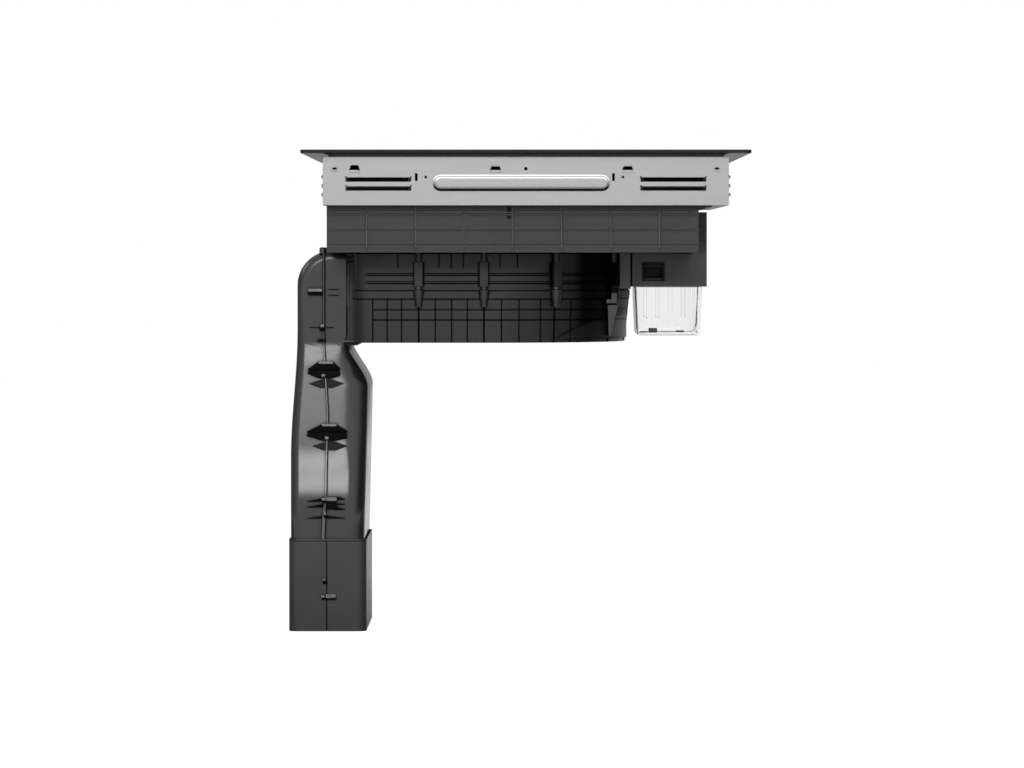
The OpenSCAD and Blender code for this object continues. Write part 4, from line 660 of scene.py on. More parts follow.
def block(x, y, z, cut=0.3):
    """A bar with sides along the axes and its edges cut, told by its ranges in millimetres."""
    (x0, x1), (y0, y1), (z0, z1) = sorted(x), sorted(y), sorted(z)
    section = np.array([(x0, y0 + cut), (x0 + cut, y0), (x1 - cut, y0), (x1, y0 + cut),
                        (x1, y1 - cut), (x1 - cut, y1), (x0 + cut, y1), (x0, y1 - cut)])
    middle = section.mean(0)
    reach = np.abs(section - middle).max(0)
    inner = middle + (section - middle) * np.clip(1 - cut / reach, 0.2, 1)
    levels = ((inner, z0), (section, z0 + cut), (section, z1 - cut), (inner, z1))
    return solid(np.array([at_level(shape, z) for shape, z in levels]) * mm)


def mirrored(x, y, z, cut=0.3):
    """Two such bars, one on either side of the cooktop."""
    return [block((side * x[0], side * x[1]), y, z, cut) for side in sides]


# Black foam for seals and pads; the same black also fills the holder's windows as painted shade.
black_foam_and_shade = moulded_plastic("black_foam_and_shade", (0.003, 0.003, 0.003), 0.85, 0.1, edge_highlight=0.002)
slits = mirrored((249.9, 250.35), (17.7, 21.9), (-75.5, -62), 0.1)
slits += mirrored((78.5, 80.4), (-197.4, -175.8), (-116.3, -114.9), 0.1)
build("tray_slits", slits, black_foam_and_shade, "tray_plastic")
tray_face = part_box("lower_tray")[1].x / mm
proud = (tray_face - 0.5, tray_face + 0.12)
rims = []
for y in (185.4, 128.2, 72.0, 15.3, -41.5, -99.1, -155.8):
    rims += mirrored(proud, (y - 0.7, y + 0.7), (-110, -62), 0.1)
for z in (-68.8, -87.2, -104.5):
    rims += mirrored(proud, (-190, 219), (z, z + 1.1), 0.1)
# The rims on the ribs' faces are a paler copy of the tray's plastic: a painted highlight.
rib_highlight_plastic = moulded_plastic("rib_highlight_plastic", (0.085, 0.085, 0.0865), 0.4, painted_light=0.6,
                              gloss=0.38)
build("tray_rims", rims, rib_highlight_plastic, "tray_plastic")

# Tank holder: a moulded box under the tray's front bulge, screwed to it, with a window in
# each side for the tank's hooks, and a rubber seal on its shelf.
dress(moulded_plastic("holder_plastic", (0.026, 0.026, 0.0265), 0.42, painted_light=3),
      "tank_holder")
dress(moulded_plastic("seal_rubber", (0.004, 0.004, 0.004), 0.7, 0.08, edge_highlight=0.004),
      "tank_seal")
dress(moulded_plastic("joint_rubber", (0.03, 0.03, 0.032), 0.5, 0.08, painted_light=0.6),
      "duct_joint_seal")
# Black plates behind the holder's side windows are painted shade where its inside would lie in
# shadow.
window_shade = mirrored((73.2, 74.4), (-167, -140), (-149, -128))
for y, z in (((-166.9, -163.9), (-149.2, -127.0)), ((-142.2, -139.8), (-149.2, -127.0)),
             ((-165.0, -141.0), (-148.9, -147.3)), ((-165.0, -141.0), (-131.0, -126.2))):
    window_shade += mirrored((79.0, 80.5), y, z, 0.2)
build("window_painted_shade", window_shade, black_foam_and_shade, "holder_plastic")


# Overflow tank: a clear moulded cup with drafted walls, which hangs in its holder by hooks at
# its sides. Faint ribs run down inside it, and two rubber stops sit low on its left wall.
def clear_plastic(name, tint, bend=1.11):
    """Clear plastic: a smooth skin with slow flow waves, tinted a little."""
    material, shader, place = new_material(name)
    waves = noise(place, 40.0, 2.0, (1.0, 1.0, 0.2))
    paler = tuple(min(1.0, c * 1.02) for c in tint)
    wire(shader, {
        "Normal": surface_bump(waves, 0.05, 0.4),
        "Roughness": vary(waves, 0.02, 0.06),
        "Base Color": blend_colours(vary(waves, 0.0, 1.0), tint, paler),
        "Transmission Weight": 1.0,
        "IOR": bend})
    return material


tank_y, tank_wall = -171.8, 1.5
outside = [(144, 81.0, 8, -130.5), (144, 81.0, 8, -152), (143, 79.6, 8, -175),
           (141.4, 77.2, 8, -200), (140.6, 76.4, 7, -210), (138.6, 74.4, 6, -213.6),
           (135.0, 70.8, 5, -214.4), (0.4, 0.4, 0.2, -214.4)]
inside = [(w - 2 * tank_wall, d - 2 * tank_wall, r - tank_wall, z) for w, d, r, z in outside[:4]]
inside += [(135.6, 71.4, 5, -211.6), (132, 67.8, 4, -212.6), (0.4, 0.4, 0.2, -212.6)]
cup = np.array([at_level(rounded_loop(w, d, r, tank_y), z)
                for w, d, r, z in outside[::-1] + inside]) * mm
tank_clear = clear_plastic("clear_plastic", (0.9, 0.905, 0.905))
tank_cup = build("tank_cup", [solid(cup)], tank_clear, "clear_plastic", "tank")
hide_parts("overflow_tank")

ribs = []
for y, wide, low in ((-145.5, 0.5, -193), (-160.4, 0.7, -193), (-176.2, 0.4, -190),
                     (-191.8, 1.2, -193), (-195.4, 0.5, -193), (-203.0, 0.5, -209),
                     (-206.3, 0.8, -210)):
    ribs += mirrored((70.1, 68.9), (y - wide / 2, y + wide / 2), (low, -131), 0.1)
for y in (-145.9, -160.2):
    ribs += mirrored((70.1, 68.6), (y - 1, y + 1), (-194.2, -192.2))
build("tank_ribs", ribs, clear_plastic("clear_rib", (0.78, 0.79, 0.79), 1.03),
      "clear_plastic", "tank")
stops = [block((-74, -70), (-158.1, -147.8), (-211.0, -205.6), 0.4),
         block((-74, -70), (-190.6, -180.6), (-210.6, -208.4), 0.3)]
build("tank_feet", stops, moulded_plastic("foot_rubber", (0.055, 0.055, 0.056), 0.6,
                                          painted_light=0.5), "seal_rubber", "tank")
hooks = mirrored((71.4, 73.0), (-164, -143), (-147.5, -144), 0.4)
hooks += mirrored((71.8, 74.6), (-209, -134), (-156.5, -154.5), 0.5)
build("tank_hooks", hooks, tank_clear, "clear_plastic", "tank")

# Fan housing: two moulded shells screwed together round a parting flange, with screw bosses
# and a grid of thin ribs outside. It hangs from the tray's screw bosses over a foam gasket.
fan_y = 28 * mm
tongue_r, spiral_r1, tongue_a = 136 * mm, 165 * mm, 35.0
rear_wall_y, rear_corner_r = 203.3 * mm, 14 * mm
housing_top, housing_low = -116.7 * mm, -221.8 * mm
throat_r, shell_wall = 84 * mm, 2.5 * mm


def housing_path():
    """The housing's outline from its tongue round the front in a spiral, whose radius grows
    evenly with the angle, along the near side, round the rear corner and back, as dense
    points, with its running length."""
    angle = np.linspace(tongue_a, -180, 1400)
    a = np.radians(angle)
    r = tongue_r + (spiral_r1 - tongue_r) * (tongue_a - angle) / (tongue_a + 180)
    curve = np.stack([r * np.cos(a), fan_y + r * np.sin(a)], 1)
    corner_y = rear_wall_y - rear_corner_r
    side = np.stack([np.full(300, -spiral_r1), np.linspace(fan_y, corner_y, 300)], 1)
    turn = np.linspace(np.pi, np.pi / 2, 60)
    corner = (np.array([-spiral_r1 + rear_corner_r, corner_y])
              + rear_corner_r * np.stack([np.cos(turn), np.sin(turn)], 1))
    tongue_x = tongue_r * math.cos(math.radians(tongue_a))
    rear = np.linspace(-spiral_r1 + rear_corner_r, tongue_x, 300)
    rear = np.stack([rear, np.full(300, rear_wall_y)], 1)
    back = np.stack([np.full(120, tongue_x), np.linspace(rear_wall_y, curve[0, 1], 120)], 1)
    points = np.concatenate([curve, side[1:], corner[1:], rear[1:], back[1:-1]])
    step = np.linalg.norm(np.diff(points, axis=0), axis=1)
    return points, np.concatenate([[0], np.cumsum(step)])


path_points, path_run = housing_path()
near_part = slice(900, 1699)
near_ys = np.linspace(-100, 189, 579) * mm
near_run = np.interp(near_ys, path_points[near_part, 1], path_run[near_part])


def run_at(y):
    """The running length at which the near side lies at y, in millimetres."""
    return float(np.interp(y * mm, near_ys, near_run))


def angle_run(angle):
    """The running length at an angle of the spiral wall."""
    return float(np.interp(-angle, np.linspace(-tongue_a, 180, 1400), path_run[:1400]))


def rib(run, low, high, thick=0.7 * mm, black=0.93):
    """An upright rib: where its run and level start and end, its height, and how dark the painted
    shade on it and at its foot is."""
    return (run - thick / 2, run + thick / 2, low, high, 1.2 * mm, black)


foot = 0.3 * mm
boss_half, boss_out = 5.0 * mm, 9.6 * mm
boss_runs = [run_at(y) for y in (126.7, 49.4, -34.3)]
boss_runs += [angle_run(a) for a in (-124.3, -60.0, -12.0)]
whole_run, side_run, rib_run = float(path_run[-1]), run_at(189), run_at(181.1)
far_runs = [float(r) for r in np.linspace(angle_run(-96), angle_run(30), 14)]
upper_runs = [run_at(y) for y in (151.3, 102.7, 88.1, 73.7, 30.5, 9.8)] + far_runs[::2]
lower_runs = [run_at(y) for y in (181.1, 164, 147, 107.1, 87.7, 69.2, 28.8, 7.9, -17.7, -54.1)]
# Each rib and band is painted with shade as dark as its black value.
ribs = [rib(r, -133.1 * mm, housing_top) for r in upper_runs]
ribs += [rib(r, housing_low, -169.8 * mm) for r in lower_runs + far_runs]
ribs += [rib(r, housing_low, -177 * mm, 1.3 * mm, 1.0) for r in boss_runs]
bands = [(0.0, last, low * mm, high * mm, out * mm, black) for low, high, out, black, last in (
    (-139.9, -139.4, 0.8, 0.95, side_run), (-142.3, -141.6, 0.9, 1.0, side_run),
    (-149.6, -149.2, 0.8, 0.8, side_run), (-152.1, -151.4, 0.9, 1.0, side_run),
    (-183.0, -182.4, 1.1, 0.85, rib_run), (-195.2, -194.4, 1.2, 0.97, rib_run),
    (-160.5, -159.8, 1.8, 1.0, whole_run), (-169.6, -160.5, 1.6, 0.0, whole_run),
    (-170.4, -169.6, 1.8, 1.0, whole_run))]
bosses = [(r - boss_half, r + boss_half, -155.4 * mm, -126.5 * mm, boss_out, 0.0)
          for r in boss_runs]
features = ribs + bands + bosses


def grid_lines(first, last, edges, step):
    """Grid lines from first to last: even steps, and two lines on either side of each edge."""
    even = np.linspace(first, last, int(abs(last - first) / step) + 2)
    beside = np.array([-1.25, -0.5, 0.5, 1.25]) * foot
    pairs = (np.asarray(edges)[:, None] + beside).ravel()
    lines = np.unique(np.round(np.concatenate([even, pairs]), 5))
    return lines[(lines >= first) & (lines <= last)]


upright_edges = [edge for f in ribs + bosses for edge in f[:2]]
level_edges = [edge for f in features for edge in f[2:4]]
run_lines = grid_lines(0.0, whole_run, upright_edges, 4 * mm)[:-1]
level_lines = grid_lines(housing_low, housing_top, level_edges, 6 * mm)[::-1]


def wall_relief(run, level):
    """How far the wall stands out, the greatest of the features there, and how much painted shade
    it
    gets: a rib is painted dark all over, and a boss only along its feet."""
    out = np.zeros(np.broadcast(run, level).shape)
    black = np.zeros_like(out)
    for first, last, low, high, height, dark in features:
        within = (run > first) & (run < last) & (level > low) & (level < high)
        near = ((run > first - foot) & (run < last + foot)
                & (level > low - foot) & (level < high + foot))
        shade = np.where(within, dark, np.maximum(black, dark))
        black = np.where(near & (out < height), shade, black)
        out = np.where(within, np.maximum(out, height), out)
    for first, last, low, high, height, dark in bosses:
        beside = np.abs(run - (first + last) / 2) < boss_half + 1.3 * mm
        beside = beside & (level > low) & (level < high)
        black = np.where(beside & ~((run > first) & (run < last)), 1.0, black)
    return out, black


def path_at(run):
    """The outline's point and outward normal at a running length."""
    around = np.concatenate([path_run, [path_run[-1] + 0.8 * mm]])
    closed = np.concatenate([path_points, path_points[:1]])

    def spot(place):
        return np.stack([np.interp(place, around, closed[:, k]) for k in (0, 1)], 1)

    along = spot((run + mm) % whole_run) - spot((run - mm) % whole_run)
    along = along / np.linalg.norm(along, axis=1)[:, None]
    return spot(run), np.stack([-along[:, 1], along[:, 0]], 1)


outline, outward = path_at(run_lines)


def housing_skin():
    """The whole shell in one grid: from the throat out over the roof, down the ribbed wall,
    under the floor to its middle, and back up inside, a wall's thickness in. Below the parting
    the front leans in as it goes down."""
    out, black = wall_relief(run_lines[None, :], level_lines[:, None])
    drop = np.clip((-164 * mm - level_lines) / (58 * mm), 0, 1)[:, None]
    lean = 6 * mm * drop * np.clip(-outward[:, 1], 0, 1)[None, :]
    wall = outline[None] + (out - lean)[..., None] * outward[None]
    heights = np.broadcast_to(level_lines[:, None, None], out.shape + (1,))
    wall = np.concatenate([wall, heights], 2)
    axis = np.array([0, fan_y])
    ray = outline - axis
    throat = axis + throat_r * ray / np.linalg.norm(ray, axis=1)[:, None]

    def roof_row(share, level, inset=0.0):
        return at_level(throat + share * (outline - inset * outward - throat), level)

    def floor_row(share, level, inset=0.0):
        return at_level(axis + share * (wall[-1, :, :2] - inset * outward - axis), level)

    rows = [roof_row(s, housing_top) for s in (0.0, 0.3, 0.6, 0.9, 0.99)]
    dark = [np.zeros(len(outline))] * len(rows) + list(black)
    rows += list(wall)
    rows += [floor_row(s, housing_low) for s in (0.985, 0.8, 0.5, 0.25, 0.02)]
    rows += [floor_row(s, housing_low + shell_wall, shell_wall) for s in (0.02, 0.5, 0.99)]
    rows += [roof_row(1.0, housing_low + 2 * shell_wall, shell_wall),
             roof_row(1.0, housing_top - shell_wall, shell_wall),
             roof_row(0.0, housing_top - shell_wall)]
    dark += [np.zeros(len(outline))] * (len(rows) - len(dark))
    return np.array(rows), np.array(dark)


# The housing's plastic is painted with shade along its ribs, at the bosses' feet and on its front.
housing_plastic = with_painted_light(moulded_plastic("housing_plastic", (0.0105, 0.0105, 0.0107), 0.36,
                                          edge=0.3, gloss=0.31, edge_highlight=0.004, painted_light=1.6))
skin, skin_shade = housing_skin()
x, y, z = np.moveaxis(skin, 2, 0)
# Painted shade: the wall turns black where it curves round towards the front, fading to a quarter
# near its floor.
turned = np.clip((-56 * mm - y) / (12 * mm), 0, 1) * (x < 0)
turned = np.maximum(turned, np.clip((-98 * mm - y) / (6 * mm), 0, 1))
turned = turned * np.clip(0.25 + (z + 214 * mm) / (14 * mm), 0.25, 1) * (z < -115.5 * mm)
fan_housing = make_skin("fan_housing_skin", skin, housing_plastic, "housing_plastic", order=1)
mark(fan_housing, "painted_light", np.maximum(skin_shade, 0.85 * turned))
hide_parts("fan_housing_upper", "fan_housing_lower")

plug_levels = ((-155.3, 4.4), (-158.6, 4.6), (-158.9, 6.1), (-159.3, 6.5), (-162, 6.4),
               (-177.2, 4.2), (-179.6, 3.9), (-179.8, 3.5))
boss_points, boss_normals = path_at(np.array(boss_runs))
plugs = [solid([at_level(middle + r * mm * circle(20), z * mm) for z, r in plug_levels])
         for middle in boss_points + 4.2 * mm * boss_normals]
plug_plastic = with_painted_light(moulded_plastic("plug_plastic", (0.02, 0.02, 0.0205), 0.36,
                                       painted_light=1))
boss_plugs = build("boss_plugs", plugs, plug_plastic, "housing_plastic")
# The plugs towards the front are painted with shade.
x, y, z = joined(plugs)[0].T
mark(boss_plugs, "painted_light", 0.85 * ((y < -60 * mm) & (x < 0)))

gasket = np.array([at_level(outline - inset * mm * outward, z * mm)
                   for inset, z in ((2, -114.9), (2, -116.8), (9, -116.8), (9, -114.9))])
make_skin("foam_gasket", gasket, black_foam_and_shade, "seal_rubber")
build("foam_pad", [block((-62, 62), (-127.95, -125.2), (-155, -117))], black_foam_and_shade,
      "seal_rubber")

lugs = mirrored((77, 84), (-126.3, -112.3), (-158.6, -114.9), 0.6)
lugs += [block((-97, -74), (-109.5, -102.3), (-176, -162.9), 0.5),
         block((-96.8, -74), (-102.9, -96.3), (-175.9, -170.6), 0.4)]
gusset = np.array([(-98.4, -177.8), (-110.9, -177.8), (-101.6, -214.6), (-99.5, -214.6)])
lugs.append(solid([np.column_stack([np.full(4, x), gusset]) * mm for x in (-72, -96)]))
build("housing_lugs", lugs, plug_plastic, "housing_plastic")

# Blower: a moulded wheel on the cup of an external rotor motor, whose stator and two ball
# bearings sit on a die-cast bracket in the housing's floor.
dress(moulded_plastic("wheel_plastic", (0.015, 0.015, 0.016), 0.45), "fan_impeller")
dress(sheet_metal("rotor_steel", (0.4, 0.4, 0.41), 0.35), "motor_rotor")
dress(sheet_metal("ground_steel", (0.6, 0.6, 0.6), 0.18, (1.0, 1.0, 8.0)),
      "motor_shaft", "bearing_upper", "bearing_lower")
dress(wound_copper("stator_winding", (0.45, 0.18, 0.07), 0.0, fan_y, 1.2 * mm), "motor_stator")
dress(sheet_metal("cast_bracket", (0.5, 0.5, 0.51), 0.5, (3.0, 3.0, 3.0)), "motor_bracket")

# Duct: two glossy moulded half shells, clipped together along a seam flange. It turns down
# from the fan's outlet behind the cabinet, and its flat sides flare out a little on the way.
mouth_y, mouth_low, roof_z = 214.7, -222.0, -112.6
bend_r, bend_y, bend_z = 41.7, 231.6, -154.3
duct_low, duct_wall = -540.0, 2.0
half_top, flare, flare_bump = 106.0, 4.0, 6.05
tilt_places = np.array([-221, -229, -238, -252, -345, -360, -372, -384, -394, -405, -416, -426,
                        -440, -540])
tilt_shares = np.array([0.0, 1.0, 1.0, 0.66, 0.68, 0.86, 1.1, 1.1, 0.94, 0.76, 0.5, 0.22,
                        0.0, 0.0])


def rise(t):
    """Goes smoothly from 0 to 1 as t does: 3 t^2 - 2 t^3."""
    t = np.clip(t, 0, 1)
    return t * t * (3 - 2 * t)


def side_x(z):
    """Half the duct's width at a level: the running sum, from the mouth down, of the share by
    which its side leans out there, scaled to the whole flare."""
    fine = np.linspace(mouth_low, duct_low, 600)
    lean = np.interp(-fine, -tilt_places, tilt_shares)
    lean = np.convolve(np.pad(lean, 9, mode="edge"), np.ones(19) / 19, "valid")
    total = np.concatenate([[0], np.cumsum((lean[1:] + lean[:-1]) / 2)])
    return half_top + flare * np.interp(-np.asarray(z), -fine, total / total[-1])


def rear_y(z):
    """The rear wall's place at a level: it leans back smoothly below the elbow."""
    return bend_y + bend_r + 8 * rise((-207.6 - z) / 152)


def front_y(z):
    """The front wall's place: it comes in over a smooth shoulder, then leans back a little."""
    shoulder = rise((-220 - z) / 57)
    lean = np.clip((-277 - z) / 181, 0, 1)
    return mouth_y - (mouth_y - 189) * shoulder + 4.4 * lean


share = np.linspace(0, 1, 110)[3:]
fall = mouth_low - share * (mouth_low - duct_low)
lift = np.clip(1 - share / 0.12, 0, 1) * (bend_z - mouth_low) / 2
turns = np.radians(np.linspace(90, 0, 22))
front_points = np.concatenate([
    [[mouth_y, mouth_low]],
    np.stack([np.full(22, mouth_y), mouth_low - np.linspace(0.2, 4, 22)], 1),
    np.stack([front_y(fall), fall], 1)])
rear_points = np.concatenate([
    [[mouth_y, roof_z]],
    np.stack([bend_y + bend_r * np.cos(turns), bend_z + bend_r * np.sin(turns)], 1),
    np.stack([rear_y(fall + lift), fall + lift], 1)])
front_z = front_points[:, 1:]
corner_d = 6 + 39 * rise((-222 - front_z) / 40) - 17 * rise((-320 - front_z) / 60)
corner_w = 6 + 9 * rise((-222 - front_z) / 40)


def oval_ring(half, near, far, rear_w, rear_d, front_w, front_d, steps, flats):
    """Points round a rectangle, from -half to half and from near to far, in two arrays. Each
    corner is a quarter oval: its centre plus (width cos, depth sin) of its own quarter turn.
    Each flat side has points too."""
    turn = np.linspace(0, np.pi / 2, steps)[None, :]
    cos, sin = np.cos(turn), np.sin(turn)
    flat = np.linspace(0, 1, flats + 2)[None, 1:-1]
    first, last = near + front_d, far - rear_d
    span = last - first
    order = ((half - rear_w + rear_w * cos, last + rear_d * sin),
             (-half + rear_w - rear_w * sin, last + rear_d * cos),
             (-half + 0 * flat, last - flat * span),
             (-half + front_w - front_w * cos, first - front_d * sin),
             (half - front_w + front_w * sin, first - front_d * cos),
             (half + 0 * flat, first + flat * span))
    return [np.concatenate([part[k] for part in order], 1) for k in (0, 1)]


def duct_rings(inset):
    """The duct's cross-sections drawn in by an inset, each between a front and a rear point, as
    wide as its level asks, with long front corners and rear ones 1.6 times as deep as wide."""
    along = rear_points - front_points
    depth = np.linalg.norm(along, axis=1)[:, None]
    along = along / depth
    rear_w = max(7 - inset, 2)
    x, back = oval_ring(side_x(front_z) - inset, inset, depth - inset, rear_w, 1.6 * rear_w,
                        np.maximum(corner_w - inset, 2), np.maximum(corner_d - inset, 2), 13, 10)
    return np.stack([x, front_points[:, :1] + back * along[:, :1],
                     front_z + back * along[:, 1:]], -1)


def leaning_plastic():
    """Glossy black plastic whose normal leans with the sides' flare, told by the flared
    attribute, and whose polish grows further down."""
    material = moulded_plastic("duct_plastic", (0.02, 0.02, 0.0215), 0.2, 0.004, edge_highlight=0.004)
    shader = tree.nodes["Principled BSDF"]
    normal, rough = (shader.inputs[name].links[0].from_socket for name in ("Normal", "Roughness"))
    lean = add_node("Bump", {"Strength": 1.0, "Distance": 1.0,
                             "Height": read_mark("flared"), "Normal": normal})
    height = axes(add_node("TexCoord").outputs["Object"])["Z"]
    polish = remap(height, -0.30, -0.36, 1.0, 0.66)
    wire(shader, {"Normal": lean.outputs[0],
                  "Roughness": calc("MULTIPLY", rough, polish)})
    return material


def mark_flare(piece, z):
    """Tells the piece's material how far the sides have come out at each point's level."""
    mark(piece, "flared", (side_x(z / mm) - half_top) * mm * flare_bump)


duct_plastic = leaning_plastic()
rings = np.concatenate([duct_rings(0), duct_rings(duct_wall)[::-1]]) * mm
duct_tube = make_skin("duct_tube", rings, duct_plastic, "duct_plastic")
mark_flare(duct_tube, rings[..., 2])
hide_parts("duct_front_shell", "duct_rear_shell")


def side_bars(z, front, rear, out):
    """A bar that runs down each of the duct's sides: at each level it stands on the side's face
    from a front to a rear place, with its outer edges cut."""
    cut = np.minimum(0.35, (rear - front) / 4)
    section = ((-1.2, front), (out * 0.6, front), (out, front + cut), (out, rear - cut),
               (out * 0.6, rear), (-1.2, rear))
    return [solid(np.stack([on_wall(y, o, z, side, side_x(z)) for o, y in section], 1))
            for side in sides]


seam_z = np.linspace(-113.5, -457.5, 110)
seam_y = np.interp(-seam_z, [113, 222, 310, 380, 400, 458],
                   [239.4, 239.4, 234.7, 236.8, 236.8, 239.3])
flange_w = np.interp(-seam_z, [113, 410, 424, 458], [2.2, 2.4, 4.6, 4.6])
flanges = side_bars(seam_z, seam_y + 1.1, seam_y + 1.1 + flange_w, 1.6)
mark_flare(build("seam_flange", flanges, duct_plastic, "duct_plastic"), joined(flanges)[0][:, 2])
low = seam_z < -421
# The low flange is a paler plastic than the duct's: a painted highlight.
flange_highlight_plastic = moulded_plastic("flange_highlight_plastic", (0.12, 0.12, 0.121), 0.3, painted_light=0.5)
build("low_flange", side_bars(seam_z[low], seam_y[low] + 1.3, seam_y[low] + 4.9, 1.75),
      flange_highlight_plastic, "duct_plastic")
gaps = side_bars(seam_z, seam_y, seam_y + 1.0, 0.3)
gaps.append(block((-105, 105), (239.2, 240.3), (-114, -111.3), 0.2))
build("seam_gap", gaps, black_foam_and_shade, "seal_rubber")
build("roof_flange", [block((-106.6, 106.6), (240.3, 246.7), (-117, -108.6), 1.2)],
      plug_plastic, "duct_plastic")

# The mouth's lip and the outlet's edge are a paler plastic than the duct's: a painted highlight.
lip_highlight_plastic = moulded_plastic("lip_highlight_plastic", (0.06, 0.06, 0.061), 0.36, painted_light=1)
build("mouth_lip", [block((-106, 106), (204.5, 220.5), (-222.4, -219.6), 0.5)], lip_highlight_plastic,
      "duct_plastic")
build("mouth_seal", [block((-106.8, 106.8), (201.5, 216.2), (-226, -222.6))], black_foam_and_shade,
      "seal_rubber")
seal_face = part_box("duct_joint_seal")[1].x / mm
proud = (seal_face - 0.8, seal_face + 0.3)
build("outlet_edge", mirrored(proud, (204.0, 205.0), (-220.5, -115), 0.2), lip_highlight_plastic,
      "housing_plastic")
slits = mirrored(proud, (213.4, 214.3), (-216, -178), 0.2)
for z in (-115.9, -120.6, -126.0):
    slits += mirrored(proud, (206.2, 213.6), (z - 0.9, z + 0.9), 0.2)
build("joint_slits", slits, black_foam_and_shade, "seal_rubber")


# Duct clips: snap hooks moulded on the seam of both half shells, each a pocket with fins round a
# barrel. They hold the shells together. Pockets and fins are painted black as shade, and the
# barrels are a paler plastic as a painted highlight.
def barrel(y0, y1, top, height, out, base, side):
    """A short bar along the wall: its face leans out a little as it goes down, then it is cut
    back under."""
    end = math.copysign(0.4, y1 - y0)
    place = np.array([y0, y0 + end, y1 - end, y1])
    size = np.array([0.6, 1.0, 1.0, 0.6])
    low, lean = -height - 0.3, math.tan(math.radians(9)) * height
    section = ((-1.2, 0.0), (out - lean, 0.0), (out, -height), (out - 0.7, low), (-1.2, low),
               (-1.2, -height / 2))
    return solid(np.stack([on_wall(place, o * size if o > 0 else o, top + up, side, base)
                           for o, up in section], 1))


def plaque(outline, out, chamfer, base, side):
    """A low raised shape: its outline stands out from the wall, then draws in over a chamfer
    towards its middle."""
    outline = np.asarray(outline, float)
    middle = outline.mean(0)
    loops = []
    for share, o in ((1.0, -1.2), (1.0, out - chamfer), (1 - chamfer / 8, out)):
        y, z = (middle + (outline - middle) * share).T
        loops.append(on_wall(y, o, z, side, base))
    return solid(loops)


def panel(y1, y0, top, low, out, chamfer, base, side):
    """A rectangular plaque."""
    return plaque([(y1, top), (y0, top), (y0, low), (y1, low)], out, chamfer, base, side)


pale_parts, dark_parts, shade_parts = [], [], []


def clip(y, top, k, base, side):
    """A clip at a place on the seam: a pocket of two pointed halves painted black as shade, a
    barrel on top, a dot in its lower part, both paler as painted highlights, and a diamond of
    painted shadow below. The pocket's tips reach k times as far."""
    pocket = np.array([
        [(21 * k, -9.2), (9, -0.8), (-9.5, -0.8), (-18 * k, -8.8), (-17 * k, -10.8),
         (20 * k, -11)],
        [(20 * k, -11), (-17 * k, -10.8), (-18 * k, -17), (-8, -20.4), (8, -20.4),
         (21.5 * k, -14.6)]])
    diamond = np.array([(20.6, -26.6), (3, -21), (-6, -21), (-22.4, -26.6), (-8, -32.4),
                        (7, -32.4)])
    dark_parts.extend(plaque(part + (y, top), 2.0, 0.5, base, side) for part in pocket)
    pale_parts.append(barrel(y + 8.6, y - 9.4, top, 2.9, 3.0, base, side))
    pale_parts.append(barrel(y + 5.0, y + 0.2, top - 15.2, 3.2, 2.6, base, side))
    shade_parts.append(plaque(diamond + (y, top), 0.5, 0.3, base, side))


# More clips at the roof and low down: pockets and fins painted black as shade, round paler barrels
# as painted highlights.
roof_pocket = [(260.8, -161), (242.2, -161), (241.6, -166.2), (260.2, -166.2)]
low_barrels = ((238.9, 225.9, -407.4, 4.4, 3.0), (244.6, 239.1, -408.2, 3.2, 2.4),
               (242.2, 238.4, -425.2, 3.2, 2.9))
low_pockets = ((243, 226.5, -411.5, -422.4, 1.6), (241.6, 237.8, -429, -432.6, 2.2))
low_fins = ((261.4, -412.7, 243, -412.9, -408.6), (261.4, -419.6, 243, -419.9, -415.6),
            (216, -410, 226.5, -411.2, -406.4), (216, -416, 226.5, -417.4, -414.6),
            (216, -422.2, 228, -423.2, -418.6), (261.4, -432.8, 239, -433.2, -429.4),
            (216, -432.8, 239.5, -433.2, -429.4))
roof_barrels = ((260.5, 243, -158.1, 3.4, 3.0), (246, 241, -200.8, 3.0, 2.2))
roof_pockets = ((246.5, 240, -204.4, -208.8, 2.0), (249, 239, -218.6, -221.6, 2.0))
roof_fins = ((236.3, -159, 223.4, -159.6, -158.6), (236.3, -166, 223.4, -166.6, -165.6),
             (259, -204.6, 246, -205.2, -204.0), (229, -204.6, 240, -205.2, -204.0))
for side in sides:
    clip(239.5, -244.9, 1.0, side_x(-250) + 0.2, side)
    clip(235.5, -319.6, 1.25, side_x(-330), side)
    dark_parts.append(plaque(roof_pocket, 1.6, 0.4, side_x(-160), side))
    for level, barrels, pockets, fins, fin_out in (
            (-415, low_barrels, low_pockets, low_fins, 1.1),
            (-160, roof_barrels, roof_pockets, roof_fins, 0.7)):
        base = side_x(level)
        pale_parts += [barrel(*sizes, base, side) for sizes in barrels]
        dark_parts += [panel(*sizes, 0.4, base, side) for sizes in pockets]
        for tip_y, tip_z, root_y, low, high in fins:
            tip = [(tip_y, tip_z + 0.3), (tip_y, tip_z - 0.3)]
            fin = tip + [(root_y, low), (root_y, high)]
            dark_parts.append(plaque(fin, fin_out, 0.3, base, side))
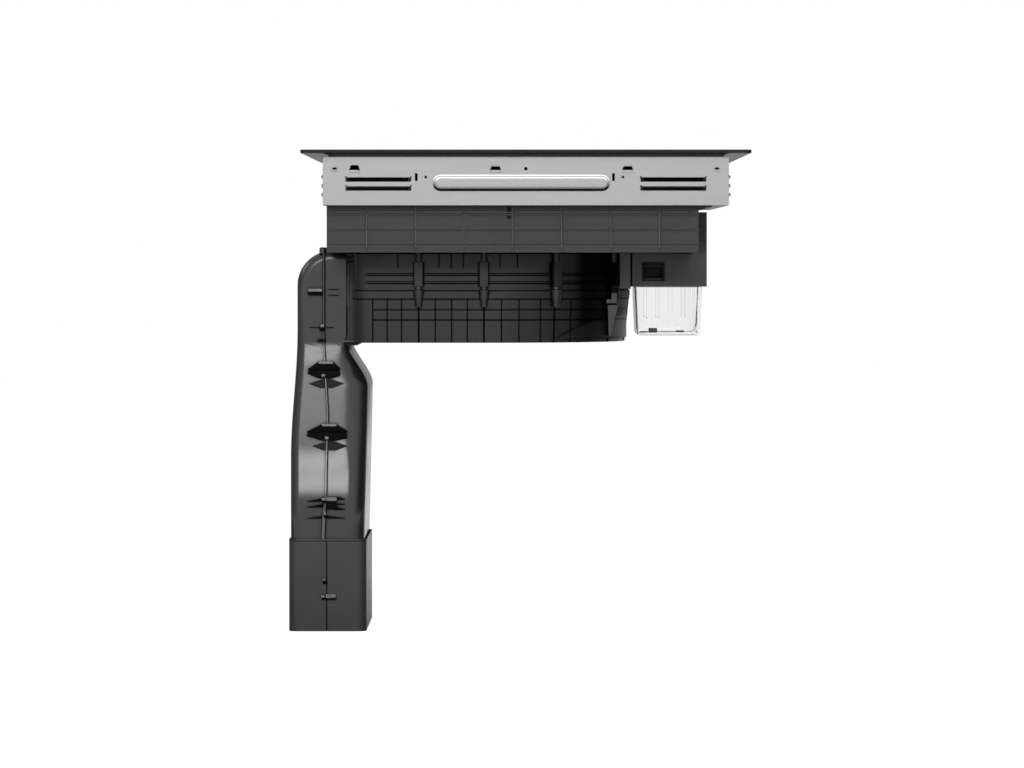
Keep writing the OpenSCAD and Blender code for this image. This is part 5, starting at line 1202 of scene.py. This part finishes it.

# Black for painted shade in pockets and under fins and barrels, and for the sleeve's dark seam; a
# paler gloss for the barrels' painted highlight; dark grey for the diamonds' painted shadow.
shade_and_seam_black = moulded_plastic("shade_and_seam_black", (0.002, 0.002, 0.0021), 0.4, 0.01, edge_highlight=0.001,
                             painted_light=1, gloss=0.04)
barrel_highlight_plastic = moulded_plastic("barrel_highlight_plastic", (0.05, 0.05, 0.051), 0.22, 0.004, edge_highlight=0.004,
                             painted_light=0.5, gloss=0.33)
clip_shade = moulded_plastic("clip_shade", (0.006, 0.006, 0.0062), 0.3, 0.004, edge_highlight=0.002,
                             painted_light=1, gloss=0.18)
build("clip_pockets", dark_parts, shade_and_seam_black, "duct_plastic", smooth=25.0)
build("clip_barrels", pale_parts, barrel_highlight_plastic, "duct_plastic", smooth=25.0)
build("clip_shades", shade_parts, clip_shade, "duct_plastic", smooth=25.0)

# Sleeve: two satin half shells clipped together, which slide over the duct's lower end. The
# drawn tube has long oval front corners, a thin lip round its top and one seam down each side.
sleeve_half = 113.5


def sleeve_ring(inset, z):
    """A cross-section at a level, drawn in by an inset."""
    wide = 9 - inset
    ring = oval_ring(sleeve_half - inset, 190.4 + inset, 283.6 - inset, wide, wide, wide,
                     14 - inset, 11, 0)
    return at_level(np.concatenate(ring).T, z)


sleeve_plastic = moulded_plastic("sleeve_plastic", (0.032, 0.032, 0.0342), 0.3, 0.01,
                                 painted_light=2)
sleeve_rings = np.array([sleeve_ring(inset, z) for inset, z in (
    (0.9, -459), (0.5, -458), (0.1, -458), (0.0, -458.4), (0.0, -459.5), (0.15, -459.8),
    (0.15, -460.6), (0.15, -500), (0.15, -540), (0.15, -566.4), (0.15, -567.4), (0.5, -568),
    (1.6, -568), (2.0, -567.6), (2.0, -510), (2.0, -461))]) * mm
sleeve_tube = make_skin("sleeve_tube", sleeve_rings, sleeve_plastic, "sleeve_plastic", "sleeve")
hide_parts("sleeve_front_shell", "sleeve_rear_shell")

base = sleeve_half - 0.1
# The seam down each side is a dark joint; the short plaques under the barrels are painted shadow,
# and the barrels are paler as a painted highlight.
seams = [panel(*sizes, base, side) for side in sides for sizes in (
    (238.6, 237.5, -459.6, -567, 0.25, 0.1), (242.4, 237.5, -507.6, -511, 1.2, 0.3),
    (244, 226.6, -528.2, -530.2, 1.0, 0.3))]
barrels = [barrel(*sizes, base, side) for side in sides for sizes in (
    (243.5, 239.4, -504.6, 2.6, 1.9), (239.6, 226.8, -523.1, 4.6, 2.4),
    (245.7, 240.0, -524.6, 2.8, 1.8))]
build("sleeve_seams", seams, shade_and_seam_black, "sleeve_plastic", "sleeve", 25.0)
build("sleeve_barrels", barrels, barrel_highlight_plastic, "sleeve_plastic", "sleeve", 25.0)
